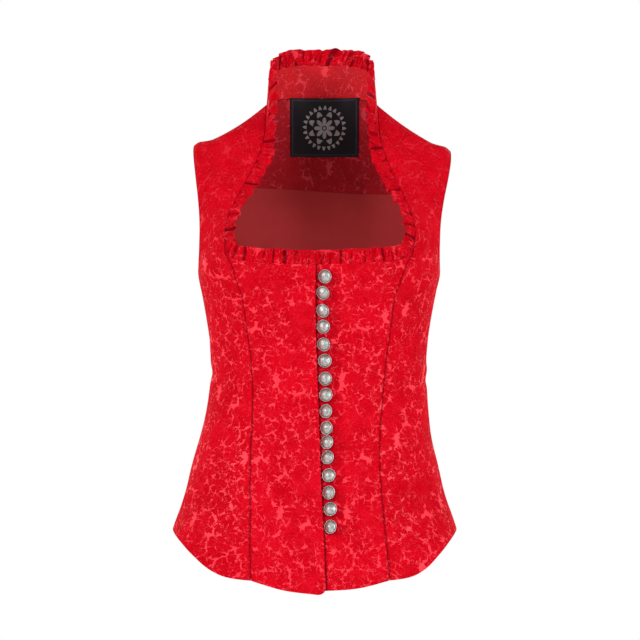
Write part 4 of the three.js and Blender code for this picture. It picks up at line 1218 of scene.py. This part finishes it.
def loop_path(x, z):
    angles = np.radians(np.linspace(90, -90, 13))
    side, wide = np.array(TO_EDGE).T
    dx = np.concatenate([side, LOOP_BEND * np.cos(angles), side[::-1]])
    dz = LOOP_BEND * np.concatenate([wide, np.sin(angles), -wide[::-1]])
    out = unit(spots(left, left_out, x + dx, z + dz))
    path = spots(left, left, x + dx, z + dz) + out * CORD_HEIGHT
    at = walked(path)
    s = np.linspace(0, at[-1], LOOP_STEPS)
    return s, averaged(read_at(s, at, path), 2), unit(read_at(s, at, out))


def twisted(x, z):
    s, path, out = loop_path(x, z)
    beside = np.cross(unit(np.gradient(path, axis=0)), out)
    verts, faces = [], []
    for start in (0, math.pi):
        angle = (s / TWIST * TURN + start)[:, None]
        points, quads = tube(path + STRAND_OUT * (beside * np.cos(angle) + out * np.sin(angle)), STRAND)
        faces.append(quads + sum(map(len, verts)))
        verts.append(points)
    return np.concatenate(verts), np.concatenate(faces)


rng = np.random.default_rng(7)
for i, (x, z) in enumerate(button_spots):
    spot = spots(left, left, x, z)
    out = unit(spots(left, left_out, x, z))
    aside = np.clip(rng.normal(*TILT_ASIDE), MOST_ASIDE, 0.0)
    tipped = out + np.array([aside, 0, rng.normal(*TILT_UP)])
    verts, faces, uv = button_mesh(spot + out * (SHANK_OUT - TIPPED_OUT * aside), tipped)
    button = make_mesh(f"pewter_button_{i + 1:02d}", verts, faces, [pewter], uv=uv)
    loop = make_mesh(f"cord_loop_{i + 1:02d}", *twisted(x, z), [cord])
    for piece, solid, slot in ((button, f"button_{i + 1:02d}", "pewter"), (loop, f"loop_{i + 1:02d}", "cord")):
        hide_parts(solid)
        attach(piece, "root")
print("buttons and loops:", len(button_spots))

# %% [markdown]
# The set is a pale round floor under a white studio sky, lit from large soft sources all round, with the
# camera straight in front of the middle and far away, as for a catalogue picture. A white room would flood the
# cloth with light and wash out its weave, so the sky is shown white but lights at less than half of that.

# %% Floor and sky
FLOOR_RADIUS, FLOOR_LEVEL, FLOOR_SIDES = 3200, -1320, 96
SKY_LIGHT, SKY_SHOWN = 0.45, 1.0
turn = np.linspace(0, TURN, FLOOR_SIDES, endpoint=False)
level = np.full(FLOOR_SIDES, FLOOR_LEVEL)
verts = np.stack([FLOOR_RADIUS * np.cos(turn), FLOOR_RADIUS * np.sin(turn), level], axis=1)
floor = make_mesh("floor", verts, [list(range(FLOOR_SIDES))], [floor_paint])

world = bpy.context.scene.world = bpy.data.worlds.new("studio")
world.use_nodes = True
Bench.tree = world.node_tree
sky = Bench.tree.nodes["Background"].inputs
sky["Color"].default_value = (1, 1, 1, 1)
link(ramp(node("ShaderNodeLightPath")["Is Camera Ray"], 0, 1, SKY_LIGHT, SKY_SHOWN), sky["Strength"])
print("floor:", FLOOR_SIDES, "sides, sky:", world.name)

# %% Lights and camera
SOFTBOXES = {  # place in metres, height aimed at, size in metres, watts
    "key": ((-2.6, -2.1, 0.9), -0.2, 1.5, 66), "fill": ((2.2, -2.3, 0.4), -0.25, 1.6, 52),
    "back_left": ((2.1, 2.7, 0.9), -0.25, 1.6, 44), "back_right": ((-2.1, 2.7, 0.9), -0.25, 1.6, 44),
}
LENS, SENSOR = 147.5, 36
CAMERA_PLACE = (0.0012, -3.2, -0.2294)
for name, (location, aim, size, power) in SOFTBOXES.items():
    light = bpy.data.lights.new(name, "AREA")
    light.size, light.energy = size, power
    lamp = bpy.data.objects.new(name, light)
    lamp.location = location
    lamp.rotation_euler = (Vector((0, 0, aim)) - Vector(location)).to_track_quat("-Z", "Y").to_euler()
    bpy.context.collection.objects.link(lamp)

camera = bpy.data.cameras.new("camera")
camera.lens, camera.sensor_width = LENS, SENSOR
view = bpy.data.objects.new("camera", camera)
view.location = CAMERA_PLACE
view.rotation_euler = (math.pi / 2, 0, 0)
bpy.context.collection.objects.link(view)
bpy.context.scene.camera = view
bpy.context.scene.view_settings.view_transform = "Standard"
print("lights:", list(SOFTBOXES), "lens:", camera.lens)
